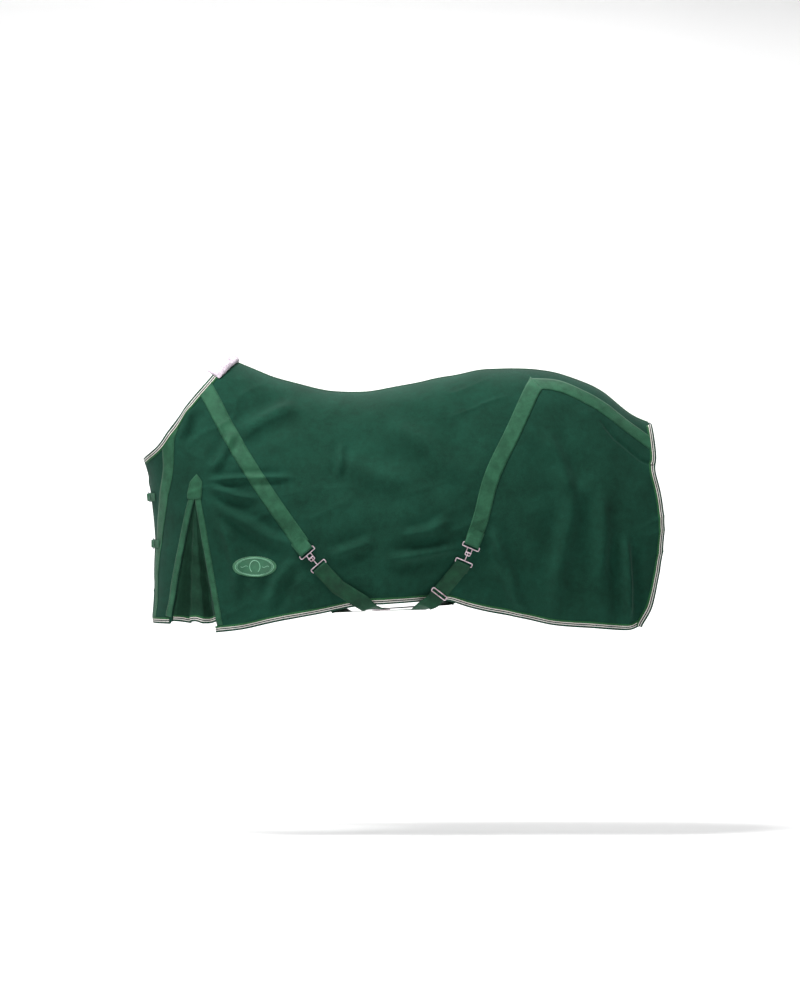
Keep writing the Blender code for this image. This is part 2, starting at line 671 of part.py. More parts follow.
def make_clip(label, frame):
    """The two linked halves: the eye of the slotted half holds the T-headed hook of the other."""
    radius = CLIP_WIRE / 2
    pivot = frame @ Matrix.Translation((-CLIP_LOOP, 0, 0))
    eye_end, eye_rise, eye_half = 0.024, 0.0045, 0.008
    eye = [(CLIP_LOOP, -eye_half, 0), (CLIP_LOOP + eye_end - 0.002, -eye_half, eye_rise),
           (CLIP_LOOP + eye_end, -eye_half + 0.002, eye_rise),
           (CLIP_LOOP + eye_end, eye_half - 0.002, eye_rise),
           (CLIP_LOOP + eye_end - 0.002, eye_half, eye_rise), (CLIP_LOOP, eye_half, 0)]
    join_wires(f"{label}_slot_clip", pivot, [
        (loop_points(0, CLIP_LOOP, CLIP_HALF_WIDTH), radius, True), (eye, radius, False)])
    far = frame @ Matrix.Translation((CLIP_SPAN + CLIP_LOOP, 0, 0))
    neck_x = 0.014 - CLIP_SPAN - CLIP_LOOP
    neck = [(-CLIP_LOOP, 0, 0), (neck_x + 0.003, 0, 0), (neck_x, 0, 0.003), (neck_x, 0, 0.0085)]
    head = [(neck_x, -0.0095, 0.0085), (neck_x, 0.0095, 0.0085)]
    join_wires(f"{label}_hook_clip", far, [
        (loop_points(-CLIP_LOOP, 0, CLIP_HALF_WIDTH), radius, True), (neck, radius, False),
        (head, radius * 1.2, False)])
    return pivot, far


def add_bar_loop(obj, name, frame, lead):
    """Wraps a webbing end round a clip's bar: lead is the path that joins it to the flat webbing."""
    wall = WEBBING
    bore = CLIP_WIRE / 2 + BAR_CLEARANCE
    points, normals = lead
    joined = add_object(f"cut_{name}_lead", finish_mesh(f"{name}_lead", ribbon(
        points, normals, WEB_WIDTH - 0.0002, WEBBING * 0.7)))
    tube = placed(add_object(f"cut_{name}_tube", cylinder_mesh(f"{name}_tube", bore + wall, WEB_WIDTH)),
                  frame)
    hole = placed(add_object(f"cut_{name}_bore", cylinder_mesh(f"{name}_bore", bore, 2 * WEB_WIDTH)),
                  frame)
    cut(obj, joined, "UNION")
    cut(obj, tube, "UNION")
    cut(obj, hole, "DIFFERENCE")


def make_belly_strap(name, far, path, hole_name):
    """A strap from a clip's bar, under the belly, to the webbing on the other side."""
    start = far @ Vector((CLIP_WIRE / 2 + BAR_CLEARANCE + 0.0004, 0, 0))
    points = [start] + [point for point, _ in path]
    normals = [far.to_3x3() @ Vector((0, 0, 1))] + [normal for _, normal in path]
    strap = add_object(name, finish_mesh(name, ribbon(points, normals, WEB_WIDTH, WEBBING)),
                       STRAP_MATERIAL)
    wall = CLIP_WIRE / 2 + BAR_CLEARANCE + WEBBING
    tube = placed(add_object(f"cut_{hole_name}_tube", cylinder_mesh("tube", wall, WEB_WIDTH - 2e-4)), far)
    hole = placed(add_object(f"cut_{hole_name}_bore", cylinder_mesh(
        "bore", CLIP_WIRE / 2 + BAR_CLEARANCE, 2 * WEB_WIDTH)), far)
    cut(strap, tube, "UNION")
    cut(strap, hole, "DIFFERENCE")
    return points, normals


def surface_stop(x, z, side, lift):
    x, z = graded((x, z))
    return on_surface(x, z, side, lift), surface_normal(x, z, side)


def under_stop(x, y, z, normal):
    """A place under the belly: y is a share of the half-width, and z keeps its distance below the hem."""
    below = z - BELLY_HEM_Z
    x, z = graded((x, BELLY_HEM_Z))
    z += below
    return Vector((x, y * half_width(x, z), z)), Vector(normal).normalized()


def strap_path(which):
    low = CLIP_HEIGHT + 0.0015
    sewn = CLOTH / 2 + GAP + WEBBING + GAP + WEBBING / 2
    if which == "front":
        return [surface_stop(-0.036, -0.617, -1, low), surface_stop(0.040, -0.664, -1, low),
                under_stop(0.060, -1.011, -0.6835, (0, -0.7, -0.7)),
                under_stop(0.085, -0.853, -0.689, (0, -0.1, -1)),
                under_stop(0.290, 0.921, -0.686, (0, 0.1, -1)),
                under_stop(0.312, 1.083, -0.676, (0, 0.7, -0.7)),
                surface_stop(0.330, -0.645, 1, low), surface_stop(0.357, -0.565, 1, low),
                surface_stop(0.378, -0.500, 1, low - 0.005), surface_stop(0.390, -0.462, 1, sewn),
                surface_stop(0.400, -0.430, 1, sewn)]
    return [surface_stop(0.262, -0.6575, -1, low),
            under_stop(0.238, -1.055, -0.6755, (0, -0.7, -0.7)),
            under_stop(0.215, -0.902, -0.690, (0, -0.1, -1)),
            under_stop(0.097, 0.000, -0.699, (0, 0, -1)),
            under_stop(-0.022, 0.876, -0.709, (0, 0.1, -1)),
            under_stop(-0.044, 1.039, -0.7035, (0, 0.7, -0.7)),
            surface_stop(-0.057, -0.672, 1, low), surface_stop(-0.100, -0.575, 1, low),
            surface_stop(-0.1345, -0.508, 1, low - 0.005), surface_stop(-0.160, -0.468, 1, sewn),
            surface_stop(-0.182, -0.434, 1, sewn)]


def make_adjuster(name, points, normals, segment, distance):
    """A three-bar slide: the strap goes over its middle bar and under the two outer ones.

    distance is from the run's start, or back from its end where it is negative.
    """
    start, end = points[segment], points[segment + 1]
    along = (end - start).normalized()
    across = (normals[segment] + normals[segment + 1]).cross(along).normalized()
    out = along.cross(across)
    frame = Matrix((along, across, out)).transposed().to_4x4()
    frame.translation = (start if distance > 0 else end) + along * distance
    rise = WEBBING / 2 + GAP + CLIP_WIRE / 2
    half = 0.0063
    loop = [(x, y, rise) for x, y, _ in loop_points(-half, half, CLIP_HALF_WIDTH)]
    middle = [(0, -CLIP_HALF_WIDTH, rise), (0, -CLIP_HALF_WIDTH, -rise),
              (0, CLIP_HALF_WIDTH, -rise), (0, CLIP_HALF_WIDTH, rise)]
    join_wires(name, frame, [(loop, CLIP_WIRE / 2, True), (middle, CLIP_WIRE / 2 * 0.96, False)])


def chest_x(tree, y, z):
    """X of the chest's cloth in front of the given place, read from the cloth's own facets."""
    y = math.copysign(max(abs(y), CHEST_HALF_GAP + 0.002), y)
    return tree.ray_cast(Vector((-2 * LENGTH, y, z)), Vector((1, 0, 0)))[0].x


def chest_base(y, z):
    """The cloth under the middle of a chest strap, where neither of its edges sinks in."""
    half = CHEST_STRAP_WIDTH / 2
    high, low = chest_x(CHEST_TREE, y, z + half), chest_x(CHEST_TREE, y, z - half)
    return Vector((min((high + low) / 2, chest_x(CHEST_TREE, y, z)), y, z))


def chest_normal(y, z):
    step = 0.012
    half = CHEST_STRAP_WIDTH / 2
    over = chest_base(y + step, z) - chest_base(y - step, z)
    tilt = chest_x(CHEST_TREE, y, z + half) - chest_x(CHEST_TREE, y, z - half)
    normal = over.cross(Vector((tilt, 0, 2 * half))).normalized()
    return normal if normal.x < 0 else -normal


def chest_path(stops, z):
    """A path across the chest, from stops given as y and the height over the cloth's face."""
    points = [chest_base(y, z) + chest_normal(y, z) * (CLOTH / 2 + lift) for y, lift in stops]
    return points, [chest_normal(y, z) for y, _ in stops]


HEEL_Y = -0.022
BUCKLE_WIRE = 0.004
BUCKLE_LIFT = 0.0058
LOOSE_LIFT = 0.0049
ROLLER_BORE = 0.0023
ROLLER_RADIUS = 0.0030
TONGUE_RADIUS = 0.0012
CHAPE_BORE = 0.0025
CHAPE_RADIUS = 0.0040
SEWN_REACH = {"upper": 0.100, "lower": 0.056}


def make_chest_closure(label, height):
    """A roller buckle on the near side, and the strap from the off side through it."""
    z = height * DROP_GRADE
    sewn = 2 * GAP + CHEST_STRAP / 2
    chape_low = 2 * GAP + WEBBING / 2
    reach = SEWN_REACH[label]
    middle = HEEL_Y / 2
    centre = chest_base(middle, z) + chest_normal(middle, z) * (CLOTH / 2 + BUCKLE_LIFT)
    out = chest_normal(middle, z)
    across = (Vector((0, 1, 0)) - out * out.y).normalized()
    frame = Matrix((across, out.cross(across), out)).transposed().to_4x4()
    frame.translation = centre
    flat = [(0.006 + (reach - 0.006) * i / 8, sewn) for i in range(8, -1, -1)]
    stops = flat + [(-0.0017, 0.0018),
             (-0.0197, 0.0116), (-0.022, 0.0123), (-0.0265, 0.0120), (-0.040, 0.0065),
             (-0.046, LOOSE_LIFT), (-0.070, LOOSE_LIFT), (-0.100, LOOSE_LIFT),
             (-0.135, LOOSE_LIFT)]
    points, normals = chest_path(stops, z)
    strap = add_object(f"{label}_chest_strap", finish_mesh(
        "strap", ribbon(points, normals, CHEST_STRAP_WIDTH, CHEST_STRAP)), WEB_MATERIAL)
    slot = box_mesh("slot", (0.0175, 0.0046, 0.024))
    cut(strap, placed(add_object(f"cut_{label}_strap_slot", slot), frame, (-0.0038, 0, 0.002)),
        "DIFFERENCE")
    make_chape(label, z, frame, chape_low, reach)
    half = CHEST_STRAP_WIDTH / 2 + 0.001 + BUCKLE_WIRE / 2
    heel = -HEEL_Y / 2
    loop = [(x, y, 0) for x, y, _ in loop_points(-heel, heel, half, 0.002)]
    join_wires(f"{label}_buckle_frame", frame, [(loop, BUCKLE_WIRE / 2, True)])
    roller = placed(add_object(f"{label}_buckle_roller", cylinder_mesh(
        "roller", ROLLER_RADIUS, CHEST_STRAP_WIDTH - 0.001), METAL_MATERIAL), frame, (heel, 0, 0))
    bore = placed(add_object(f"cut_{label}_roller_bore", cylinder_mesh(
        "bore", ROLLER_BORE, 0.08)), frame, (heel, 0, 0))
    cut(roller, bore, "DIFFERENCE")
    make_tongue(label, frame, heel)
    make_keeper(label, z)


def make_chape(label, z, frame, low, reach):
    """The folded tab that holds the buckle's heel bar, slotted for the tongue."""
    stops = [(HEEL_Y - CHAPE_BORE - 0.0004, BUCKLE_LIFT), (-0.034, 0.0022), (-0.041, low),
             *[(-0.041 - (reach - 0.041) * i / 5, low) for i in range(1, 6)]]
    points, normals = chest_path(stops, z)
    chape = add_object(f"{label}_buckle_chape", finish_mesh(
        "chape", ribbon(points, normals, CHEST_STRAP_WIDTH, WEBBING)), WEB_MATERIAL)
    heel = (HEEL_Y / 2, 0, 0)
    tube = cylinder_mesh("tube", CHAPE_RADIUS, CHEST_STRAP_WIDTH - 2e-4)
    cut(chape, placed(add_object(f"cut_{label}_chape_tube", tube), frame, heel), "UNION")
    bore = cylinder_mesh("bore", CHAPE_BORE, 0.08)
    cut(chape, placed(add_object(f"cut_{label}_chape_bore", bore), frame, heel), "DIFFERENCE")
    slot = box_mesh("slot", (2.6 * CHAPE_RADIUS, 0.0056, 0.014))
    cut(chape, placed(add_object(f"cut_{label}_chape_slot", slot), frame, heel), "DIFFERENCE")


def make_tongue(label, frame, heel):
    """The pin: a ring round the heel bar, and a bar that rests over the roller."""
    rest = ROLLER_RADIUS + 0.0003 + TONGUE_RADIUS
    points = [(0.0030, 0, 0.0022), (2 * heel, 0, rest), (2 * heel + 0.004, 0, rest - 0.0002)]
    pivot = frame @ Matrix.Translation((-heel, 0, 0))
    tongue = placed(add_object(f"{label}_buckle_tongue", cylinder_mesh(
        "ring", CHAPE_RADIUS, 0.0042), METAL_MATERIAL), pivot)
    pin = wire_mesh("pin", points, TONGUE_RADIUS, False)
    cut(tongue, placed(add_object(f"cut_{label}_pin", pin), pivot), "UNION")
    bore = cylinder_mesh("bore", CHAPE_BORE, 0.05)
    cut(tongue, placed(add_object(f"cut_{label}_tongue_bore", bore), pivot), "DIFFERENCE")


def make_keeper(label, z):
    """The loop that holds the strap's loose end down on the chape."""
    points, normals = chest_path([(-0.0475, LOOSE_LIFT), (-0.0575, LOOSE_LIFT)], z)
    longer, longer_normals = chest_path([(-0.040, LOOSE_LIFT), (-0.065, LOOSE_LIFT)], z)
    keeper = add_object(f"{label}_strap_keeper", finish_mesh(
        "keeper", ribbon(points, normals, CHEST_STRAP_WIDTH + 0.0040, CHEST_STRAP + 0.0030)),
        METAL_MATERIAL)
    inner = ribbon(longer, longer_normals, CHEST_STRAP_WIDTH + 0.0012, CHEST_STRAP + 0.0010)
    cut(keeper, add_object(f"cut_{label}_keeper_inside", finish_mesh("inside", inner)), "DIFFERENCE")


def web_lead(frame, points, side):
    """The path from a clip's bar down to the flat end of its webbing."""
    (x0, z0), (x1, z1) = [graded(point) for point in points]
    length = math.hypot(x1 - x0, z1 - z0)
    back = ((x0 - x1) / length, (z0 - z1) / length)
    low = CLOTH / 2 + GAP + WEBBING / 2
    stops = [frame @ Vector((-CLIP_WIRE / 2 - BAR_CLEARANCE - 0.0004, 0, 0))]
    normals = [frame.to_3x3() @ Vector((0, 0, 1))]
    for distance, lift in ((0.027, low + 0.00285), (0.038, low + 0.0002), (0.050, low)):
        x, z = x0 + back[0] * distance, z0 + back[1] * distance
        stops.append(on_surface(x, z, side, lift))
        normals.append(surface_normal(x, z, side))
    return stops, normals


def main():
    near_base, _, near_webs = make_side("near", -1)
    make_side("off", 1)
    make_middle_pieces()
    make_label(near_base)
    for label, points, web in (("front", FRONT_CLIP, near_webs[0]), ("rear", REAR_CLIP, near_webs[1])):
        frame = side_frame(points, -1, CLIP_HEIGHT)
        pivot, far = make_clip(label, frame)
        add_bar_loop(web, f"{label}_web_end", pivot, web_lead(pivot, points, -1))
        route = make_belly_strap(f"{label}_belly_strap", far, strap_path(label), label)
        segment, distance = (4, 0.036) if label == "front" else (0, -0.0289)
        make_adjuster(f"{label}_strap_adjuster", *route, segment, distance)
    for label, height in CHEST_HEIGHTS.items():
        make_chest_closure(label, height)


clear_scene()
PARTS = new_collection("turnout_rug")
CUTTERS = new_collection("cutters")
CLOTH_MATERIAL = make_material("rug_cloth", (0.012, 0.068, 0.037), 0.9)
WEB_MATERIAL = make_material("green_webbing", (0.021, 0.125, 0.060), 0.7)
STRAP_MATERIAL = make_material("belly_strap_webbing", (0.014, 0.085, 0.042), 0.7)
TAPE_MATERIAL = make_material("green_tape", (0.021, 0.125, 0.060), 0.75)
BINDING_MATERIAL = make_material("striped_binding", (0.30, 0.36, 0.31), 0.75)
FLEECE_MATERIAL = make_material("white_fleece", (0.93, 0.89, 0.93), 0.95)
METAL_MATERIAL = make_material("nickel", (0.72, 0.62, 0.70), 0.3, 1.0)
CHEST_TREE = surface_tree()
main()
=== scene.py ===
import json
import math

import bmesh
import bpy
import numpy as np
from mathutils import Matrix, Vector

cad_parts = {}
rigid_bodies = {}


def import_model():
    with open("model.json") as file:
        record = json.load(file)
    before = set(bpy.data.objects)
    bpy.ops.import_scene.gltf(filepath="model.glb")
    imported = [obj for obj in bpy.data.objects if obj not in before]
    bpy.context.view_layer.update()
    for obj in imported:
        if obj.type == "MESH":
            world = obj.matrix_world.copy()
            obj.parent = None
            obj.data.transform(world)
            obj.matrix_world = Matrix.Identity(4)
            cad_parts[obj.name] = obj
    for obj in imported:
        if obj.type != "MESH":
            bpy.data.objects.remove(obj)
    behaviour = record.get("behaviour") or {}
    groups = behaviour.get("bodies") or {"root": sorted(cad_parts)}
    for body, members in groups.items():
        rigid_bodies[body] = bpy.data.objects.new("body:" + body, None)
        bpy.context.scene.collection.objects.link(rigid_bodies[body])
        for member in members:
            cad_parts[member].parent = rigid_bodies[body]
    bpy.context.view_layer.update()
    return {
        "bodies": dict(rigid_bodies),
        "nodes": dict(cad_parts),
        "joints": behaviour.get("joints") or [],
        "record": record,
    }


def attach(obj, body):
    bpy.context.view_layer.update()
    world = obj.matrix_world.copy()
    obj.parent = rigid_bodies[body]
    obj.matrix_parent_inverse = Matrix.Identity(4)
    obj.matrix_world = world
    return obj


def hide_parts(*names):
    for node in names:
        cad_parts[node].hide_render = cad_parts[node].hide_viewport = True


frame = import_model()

# The rug's own sizes, the same as the CAD part's, in metres. X runs towards the tail, the near
# side is at -Y, and the origin is on the back seam at the lowest point of the back.
HALF_WIDTH = 0.325
GAP = 0.0004
CLOTH = 0.003
TAPE = 0.0012
WEBBING = 0.0015
BINDING = 0.001
BINDING_WIDTH = 0.019
WEB_WIDTH = 0.050
CROUP_SIDE_WIDTH = 0.034
GUSSET_TAPE_WIDTH = 0.018
SEAM_TAPE_WIDTH = 0.024
LABEL_LENGTH = 0.137
LABEL_HEIGHT = 0.066
LABEL_THICKNESS = 0.0009
CHEST_STRAP_WIDTH = 0.025
CHEST_STRAP = 0.0018
CLIP_HEIGHT = 0.0105
CLIP_WIRE = 0.0035
CHEST_BACK_X = -0.34
FULL_DEPTH = 0.45
FRONT_HEM_Z = -0.737
BACK = [(-0.72, 0.34), (-0.52, 0.17), (-0.403, 0.110), (-0.271, 0.055), (-0.180, 0.028),
        (-0.091, 0.007), (0.0, 0.0), (0.091, 0.005), (0.214, 0.031), (0.335, 0.049),
        (0.432, 0.070), (0.517, 0.075), (0.607, 0.069), (0.728, 0.037), (0.806, 0.001),
        (0.896, -0.071), (0.956, -0.099), (1.02, -0.115)]
WIDTHS = [(-0.72, 0.80), (-0.35, 0.84), (0.10, 1.0), (0.35, 0.96), (0.60, 0.90), (0.80, 0.76),
          (1.02, 0.48)]
TUCKS = [(-0.72, 0.02), (-0.40, 0.06), (0.0, 0.28), (0.25, 0.36), (0.50, 0.20), (1.02, 0.04)]
ROUNDNESS = [(-0.72, 1.6), (-0.35, 1.6), (0.0, 2.0), (0.5, 2.2), (1.02, 1.9)]
FRONT = [(-0.80, -0.632), (-0.695, -0.636), (-0.60, -0.628), (-0.47, -0.627), (-0.38, -0.636),
         (-0.273, -0.648), (-0.213, -0.663), (-0.10, -0.690), (0.12, -0.700)]
NECK_EDGE = [(-0.396, 0.108), (-0.452, 0.041), (-0.504, -0.022), (-0.567, -0.107),
             (-0.608, -0.167), (-0.662, -0.211)]
REAR_EDGE = [(0.956, -0.100), (0.964, -0.107), (0.974, -0.201), (0.970, -0.249), (0.986, -0.321),
             (0.995, -0.413), (0.992, -0.502), (0.977, -0.592), (0.956, -0.684), (0.929, -0.740)]
HEM = [(0.929, -0.740), (0.878, -0.756), (0.758, -0.7465), (0.636, -0.737), (0.5465, -0.718),
       (0.384, -0.683), (0.3055, -0.6615), (0.214, -0.664), (0.0535, -0.674), (-0.091, -0.701),
       (-0.211, -0.7215), (-0.331, -0.7497), (-0.421, -0.761)]
SLIT_TOP = (-0.491, -0.337)
SLIT_FRONT_FOOT = (-0.5768, -0.745)
SLIT_REAR_FOOT = (-0.420, -0.745)
PATCH = [(-0.485, -0.2615), (-0.507, -0.2867), (-0.5135, -0.3395), (-0.470, -0.3395),
         (-0.467, -0.2867)]
FRONT_TAPE = [(-0.566, -0.112, 0.038), (-0.577, -0.1575, 0.036), (-0.580, -0.261, 0.032),
              (-0.595, -0.353, 0.030), (-0.606, -0.441, 0.022), (-0.6127, -0.564, 0.015),
              (-0.622, -0.6835, 0.010), (-0.6235, -0.718, 0.010)]
FRONT_WEB = [(-0.466, 0.014), (-0.457, 0.0), (-0.350, -0.192), (-0.247, -0.348),
             (-0.1500, -0.484)]
REAR_WEB = [(0.590, 0.024), (0.572, -0.008), (0.5135, -0.132), (0.448, -0.268),
            (0.414, -0.394), (0.3885, -0.4700)]
CROUP_WEB = [(0.590, 0.024), (0.668, 0.014), (0.756, -0.022), (0.819, -0.0615),
             (0.879, -0.110), (0.990, -0.188)]
MITRE = [(0.575, 0.044), (0.612, 0.000)]
CROUP_STOP = ((0.965, -0.249), (0.956, -0.107))
LABEL_CENTRE = (-0.301, -0.554)
FRONT_CLIP = [(-0.130, -0.5135), (-0.1016, -0.5466)]
REAR_CLIP = [(0.378, -0.4945), (0.3600, -0.5345)]


def smooth(points, at):
    """A smooth curve through sorted points, read at one place, with straight ends."""
    if at <= points[0][0]:
        return points[0][1]
    for i in range(len(points) - 1):
        (a, fa), (b, fb) = points[i], points[i + 1]
        if at <= b:
            before = points[max(i - 1, 0)]
            after = points[min(i + 2, len(points) - 1)]
            slope_a = (fb - before[1]) / (b - before[0])
            slope_b = (after[1] - fa) / (after[0] - a)
            t = (at - a) / (b - a)
            h = b - a
            return (fa * (1 + 2 * t) * (1 - t) ** 2 + slope_a * h * t * (1 - t) ** 2
                    + fb * t * t * (3 - 2 * t) - slope_b * h * t * t * (1 - t))
    return points[-1][1]


def table(points, low, high, count=1400):
    """The same curve as evenly spaced values, for reading many places at once."""
    at = np.linspace(low, high, count)
    return at, np.array([smooth(points, value) for value in at])


CURVES = {name: table(points, low, high) for name, points, low, high in (
    ("back", BACK, -0.8, 1.02), ("width", WIDTHS, -0.8, 1.02), ("tuck", TUCKS, -0.8, 1.02),
    ("round", ROUNDNESS, -0.8, 1.02), ("front", FRONT, -0.85, 0.35))}


def read(name, at):
    """A named curve at many places."""
    return np.interp(at, *CURVES[name])


def half_width(x, z):
    """How far the cloth stands from the middle plane, for arrays of side-view places."""
    front = read("front", z)
    share = np.clip((x - front) / (CHEST_BACK_X - front), 0, 1)
    depth = np.maximum(read("back", x) - z, 0) / FULL_DEPTH
    power = read("round", x)
    near = np.clip(1 - depth, 0, 1)
    turning = np.maximum(1 - near ** power, 0) ** (1 / power)
    under = 1 - read("tuck", x) * (1.1 * np.maximum(depth - 1, 0)) ** 2
    full = HALF_WIDTH * read("width", x)
    return full * np.where(depth < 1, turning, under) * np.sqrt(1 - (1 - share) ** 2)


def turns_of(x, z):
    """A side-view place as the two turns that cover the body evenly: round the chest, over the back."""
    front = read("front", z)
    reach = CHEST_BACK_X - front
    share = (x - front) / reach
    a = np.where(share < 1, np.arccos(np.clip(1 - share, -1, 1)), np.pi / 2 + (share - 1))
    depth = (read("back", x) - z) / FULL_DEPTH
    b = np.where(depth < 1, np.arccos(np.clip(1 - depth, -1, 1)), np.pi / 2 + (depth - 1))
    return a, b


def place_of(a, b):
    """The side-view place of two turns."""
    depth = FULL_DEPTH * np.where(b < np.pi / 2, 1 - np.cos(b), 1 + b - np.pi / 2)
    share = np.where(a < np.pi / 2, 1 - np.cos(a), 1 + a - np.pi / 2)
    x = -0.65 + share * 0.31
    for _ in range(12):
        z = read("back", x) - depth
        front = read("front", z)
        x = 0.5 * x + 0.5 * (front + share * (CHEST_BACK_X - front))
    return x, read("back", x) - depth


# Folds of the lying cloth in the side view: the line, its width, its height and the side it is on.
FOLDS = [
    ([(-0.455, -0.345), (-0.36, -0.40), (-0.26, -0.46), (-0.157, -0.50)], 0.020, 0.0055, -1),
    ([(-0.472, -0.283), (-0.33, -0.276), (-0.157, -0.274)], 0.011, 0.0040, -1),
    ([(-0.378, -0.154), (-0.29, -0.10), (-0.21, -0.06), (-0.157, -0.028)], 0.030, 0.0060, -1),
    ([(-0.504, -0.044), (-0.520, -0.10), (-0.535, -0.154)], 0.018, 0.0060, -1),
    ([(-0.44, -0.26), (-0.40, -0.20), (-0.37, -0.12)], 0.016, 0.0045, -1),
    ([(-0.45, -0.30), (-0.37, -0.33), (-0.28, -0.345)], 0.014, 0.0042, -1),
    ([(-0.44, -0.36), (-0.39, -0.45), (-0.36, -0.56), (-0.35, -0.68)], 0.022, 0.0055, -1),
    ([(-0.031, -0.154), (-0.028, -0.22), (-0.034, -0.28)], 0.013, 0.0040, -1),
    ([(0.41, -0.50), (0.30, -0.50), (0.19, -0.52), (0.09, -0.54)], 0.018, 0.0060, -1),
    ([(0.44, -0.41), (0.47, -0.50), (0.51, -0.58), (0.53, -0.66)], 0.020, 0.0070, -1),
    ([(0.43, -0.53), (0.49, -0.60), (0.54, -0.68), (0.56, -0.71)], 0.024, 0.0070, -1),
    ([(0.33, -0.40), (0.25, -0.44), (0.15, -0.46)], 0.016, 0.0045, -1),
    ([(-0.17, -0.53), (-0.23, -0.60), (-0.26, -0.70)], 0.020, 0.0050, -1),
    ([(-0.08, -0.53), (0.0, -0.50), (0.09, -0.47)], 0.018, 0.0045, -1),
    ([(0.866, -0.441), (0.872, -0.55), (0.878, -0.65), (0.882, -0.743)], 0.020, 0.0120, 0),
    ([(0.790, -0.30), (0.800, -0.45), (0.790, -0.62)], 0.026, 0.0060, 0),
    ([(0.70, -0.28), (0.69, -0.42), (0.66, -0.56), (0.65, -0.70)], 0.032, 0.0060, 0),
    ([(-0.10, -0.20), (0.05, -0.26), (0.20, -0.30)], 0.040, 0.0050, 0),
    ([(0.10, -0.10), (0.25, -0.18), (0.36, -0.30)], 0.040, 0.0055, 0),
    ([(0.60, -0.12), (0.66, -0.22), (0.70, -0.34)], 0.030, 0.0055, 0),
    ([(-0.47, -0.30), (-0.36, -0.35), (-0.25, -0.42)], 0.020, 0.0050, 1),
    ([(-0.42, -0.40), (-0.37, -0.52), (-0.36, -0.68)], 0.022, 0.0055, 1),
    ([(-0.50, -0.06), (-0.52, -0.11), (-0.53, -0.16)], 0.018, 0.0050, 1),
    ([(0.36, -0.44), (0.25, -0.48), (0.12, -0.50)], 0.020, 0.0055, 1),
    ([(0.42, -0.46), (0.48, -0.56), (0.52, -0.68)], 0.022, 0.0065, 1),
    ([(-0.16, -0.50), (-0.22, -0.58), (-0.25, -0.69)], 0.020, 0.0050, 1),
    ([(-0.12, -0.46), (-0.02, -0.44), (0.07, -0.45)], 0.018, 0.0045, 1),
]
FOLD_STRENGTH = 2.4
DART = [(0.788, -0.079), (0.841, -0.148), (0.926, -0.217), (0.958, -0.230)]
DART_DEPTH = 0.006
DART_WIDTH = 0.006
CALM_REACH = 0.022
CALM_FADE = 0.05
CALM_SHARE = 0.85
CALM_SINK = 0.002
SPINE_BAND = 0.10
SPINE_LEVEL = 0.003
SPINE_WAVE_HEIGHT = 0.0035
SLACK = 0.002
FLARE_TOP_Z = -0.60
FLARE_HEIGHT = 0.006


def noise_field(seed, cell, span=3.0):
    """A smooth random field over the side view, from -1 to 1 or so, with features of one size."""
    rng = np.random.default_rng(seed)
    count = int(span / cell) + 4
    values = rng.uniform(-1, 1, (count, count))

    def sample(x, z):
        u, v = (np.asarray(x) + span / 2) / cell, (np.asarray(z) + span / 2) / cell
        i, j = np.floor(u).astype(int), np.floor(v).astype(int)
        i, j = np.clip(i, 0, count - 2), np.clip(j, 0, count - 2)
        fu, fv = u - i, v - j
        fu, fv = fu * fu * (3 - 2 * fu), fv * fv * (3 - 2 * fv)
        low = values[i, j] * (1 - fu) + values[i + 1, j] * fu
        high = values[i, j + 1] * (1 - fu) + values[i + 1, j + 1] * fu
        return low * (1 - fv) + high * fv

    return sample


NOISES = {-1: [(noise_field(11, 0.16), 0.0050), (noise_field(12, 0.075), 0.0022),
               (noise_field(13, 0.034), 0.0008)],
          1: [(noise_field(21, 0.16), 0.0050), (noise_field(22, 0.075), 0.0022),
              (noise_field(23, 0.034), 0.0008)]}
CREASES = {-1: noise_field(15, 0.055), 1: noise_field(25, 0.055)}
CREASE_CLOUDS = {-1: noise_field(16, 0.21), 1: noise_field(26, 0.21)}
CREASE_TURN = math.radians(24)
CREASE_STRETCH = 3.6
CREASE_HEIGHT = 0.0042
SPINE_WAVE = noise_field(31, 0.09)
STRAP_LINES = [[FRONT_CLIP[0], FRONT_CLIP[1], (-0.036, -0.617), (0.040, -0.664)],
               [REAR_CLIP[0], REAR_CLIP[1], (0.262, -0.6575)]]


def line_distance(x, z, line):
    """The distance to a line, and how far along it each place is, from 0 to 1."""
    lengths = [math.dist(a, b) for a, b in zip(line, line[1:])]
    total = sum(lengths)
    best = np.full(np.shape(x), 9.0)
    along = np.zeros(np.shape(x))
    done = 0.0
    for (x0, z0), (x1, z1), length in zip(line, line[1:], lengths):
        t = ((x - x0) * (x1 - x0) + (z - z0) * (z1 - z0)) / length ** 2
        t = np.clip(t, 0, 1)
        gap = np.hypot(x - x0 - t * (x1 - x0), z - z0 - t * (z1 - z0))
        closer = gap < best
        best = np.where(closer, gap, best)
        along = np.where(closer, (done + t * length) / total, along)
        done += length
    return best, along


def ease(value):
    """A smooth step from 0 to 1."""
    value = np.clip(value, 0, 1)
    return value * value * (3 - 2 * value)


def creases(x, z, side):
    """Long thin creases that run slantwise, strong in some places and absent in others."""
    along = x * math.cos(CREASE_TURN) + z * math.sin(CREASE_TURN)
    across = z * math.cos(CREASE_TURN) - x * math.sin(CREASE_TURN)
    ridge = 1 - np.abs(CREASES[side](along / CREASE_STRETCH, across))
    clouds = ease(0.5 + 1.1 * CREASE_CLOUDS[side](x, z))
    return CREASE_HEIGHT * ridge ** 5 * clouds


